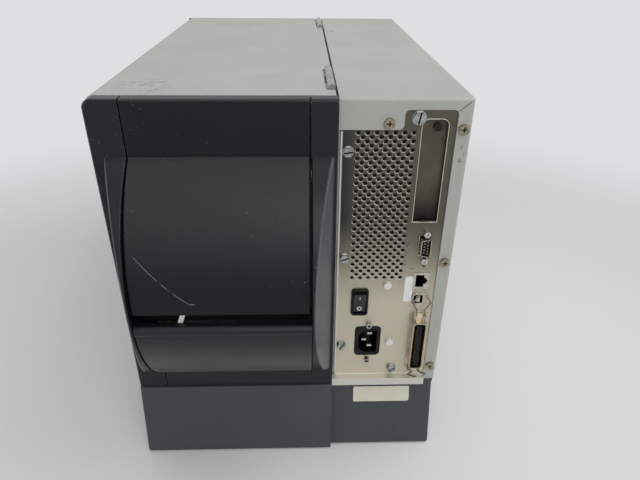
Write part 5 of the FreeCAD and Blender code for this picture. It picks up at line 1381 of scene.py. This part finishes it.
@dataclass
class Studio:
    """The pale floor, the soft lamps and the camera at the photograph's place."""

    floor_side: float = 16.0
    floor_color: Color = (0.84, 0.84, 0.83)
    far_color: Color = (0.73, 0.745, 0.755)
    far_middle: Place = (0.0, 250.0, 0.0)
    far: Span = (550.0, 1150.0)
    sky_color: Color = (0.97, 0.985, 1.0)
    sky: float = 0.28
    glow: float = 0.42
    glow_rise: Span = (0.2, 0.8)
    lamps: tuple[tuple[str, Place, float, float], ...] = (
        ("key_lamp", (-650, 150, 1250), 0.9, 1.75),
        ("top_lamp", (250, -350, 1400), 1.2, 1.2),
        ("rear_lamp", (-420, 1250, 1050), 1.1, 2.1),
    )
    lamp_aim: Place = (0.0, 0.0, 180.0)
    spread: float = 95.0
    eye: Place = (-15.8, 548.4, 437.0)
    pitch: float = 29.71
    yaw: float = -1.92
    roll: float = 0.56
    lens: float = 30.09
    clip_start: float = 0.01

    def build(self) -> None:
        """Makes the floor, the lamps, the sky and the camera."""
        self.lay_floor()
        for lamp in self.lamps:
            self.hang_lamp(*lamp)
        self.light_sky()
        self.set_camera()
        bpy.context.scene.view_settings.view_transform = "Standard"

    def lay_floor(self) -> None:
        """Makes the plain pale floor, which turns into an even pale background far from the object."""
        pick()
        bpy.ops.mesh.primitive_plane_add(size=self.floor_side, location=(0, 0, 0))
        floor = named("pale_floor")
        material = Finish("floor_paint", self.floor_color, 0.6, mottle=0.02, mottle_size=400).material()
        nodes = material.node_tree.nodes
        bench = NodeBench(material.node_tree)
        away = bench.measure("DISTANCE", bench.place(), mm(*self.far_middle))
        share = bench.times(bench.rise(away, *self.far), bench.seen())
        glow = bench.add("ShaderNodeEmission", {"Color": self.far_color})
        bench.mix_shaders(nodes["Material Output"].inputs["Surface"], share,
                          nodes["Principled BSDF"].outputs["BSDF"], glow.outputs["Emission"])
        floor.data.materials.append(material)

    def hang_lamp(self, name: str, place: Place, side: float, watts: float) -> None:
        """Hangs one soft square lamp that looks at the object.

        Args:
            name: the lamp's name.
            place: where it hangs, in millimetres.
            side: its side in metres.
            watts: its power.
        """
        data = bpy.data.lights.new(name, "AREA")
        data.size = side
        data.energy = watts
        data.spread = math.radians(self.spread)
        lamp = bpy.data.objects.new(name, data)
        lamp.location = mm(*place)
        lamp.rotation_euler = (mm(*self.lamp_aim) - lamp.location).to_track_quat("-Z", "Y").to_euler()
        bpy.context.scene.collection.objects.link(lamp)

    def light_sky(self) -> None:
        """Makes the even sky that lights the object, seen as the same pale background as the floor."""
        world = bpy.data.worlds.new("studio_sky")
        world.use_nodes = True
        nodes = world.node_tree.nodes
        bench = NodeBench(world.node_tree)
        sky = nodes["Background"]
        bench.feed(sky.inputs["Color"], self.sky_color)
        direction = bench.split(bench.add("ShaderNodeTexCoord").outputs["Generated"])
        rear = bench.spread(direction[1], *self.glow_rise)
        bench.feed(sky.inputs["Strength"], bench.math("MULTIPLY_ADD", rear, self.glow, self.sky))
        pale = bench.add("ShaderNodeBackground", {"Color": self.far_color})
        bench.mix_shaders(nodes["World Output"].inputs["Surface"], bench.seen(), sky.outputs["Background"],
                          pale.outputs["Background"])
        bpy.context.scene.world = world

    def set_camera(self) -> None:
        """Puts the camera where the photograph was taken from."""
        data = bpy.data.cameras.new("photo_camera")
        data.lens = self.lens
        data.clip_start = self.clip_start
        camera = bpy.data.objects.new("photo_camera", data)
        pitch, yaw, roll = (math.radians(angle) for angle in (self.pitch, self.yaw, self.roll))
        look = Vector((math.sin(yaw) * math.cos(pitch), -math.cos(yaw) * math.cos(pitch), -math.sin(pitch)))
        side = look.cross(Vector((0, 0, 1))).normalized()
        head = side.cross(look)
        right = side * math.cos(roll) + head * math.sin(roll)
        up = head * math.cos(roll) - side * math.sin(roll)
        frame = Matrix((right, up, -look)).transposed().to_4x4()
        camera.matrix_world = Matrix.Translation(mm(*self.eye)) @ frame
        bpy.context.scene.collection.objects.link(camera)
        bpy.context.scene.camera = camera


def dress_solids(nodes: dict[str, bpy.types.Object]) -> None:
    """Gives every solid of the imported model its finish.

    Args:
        nodes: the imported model's objects by name.
    """
    for finish, names in NODE_FINISHES.items():
        for name in names:
            for slot in nodes[name].material_slots:
                slot.material = finish.material()
            LOG.info("solid %s wears %s", name, finish.name)


def main() -> None:
    """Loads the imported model, dresses it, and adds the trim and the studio."""
    logging.basicConfig(level=logging.INFO, format="%(name)s: %(message)s")
    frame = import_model()
    dress_solids(frame["nodes"])
    for assembly in (BareLabels, SwitchMarks, PanelTrim, SlotLeaf, ShadeFlap, SeamStrips, FrontTrim, Studio):
        assembly().build()
        LOG.info("built %s", assembly.__name__)


if __name__ == "__main__":
    main()
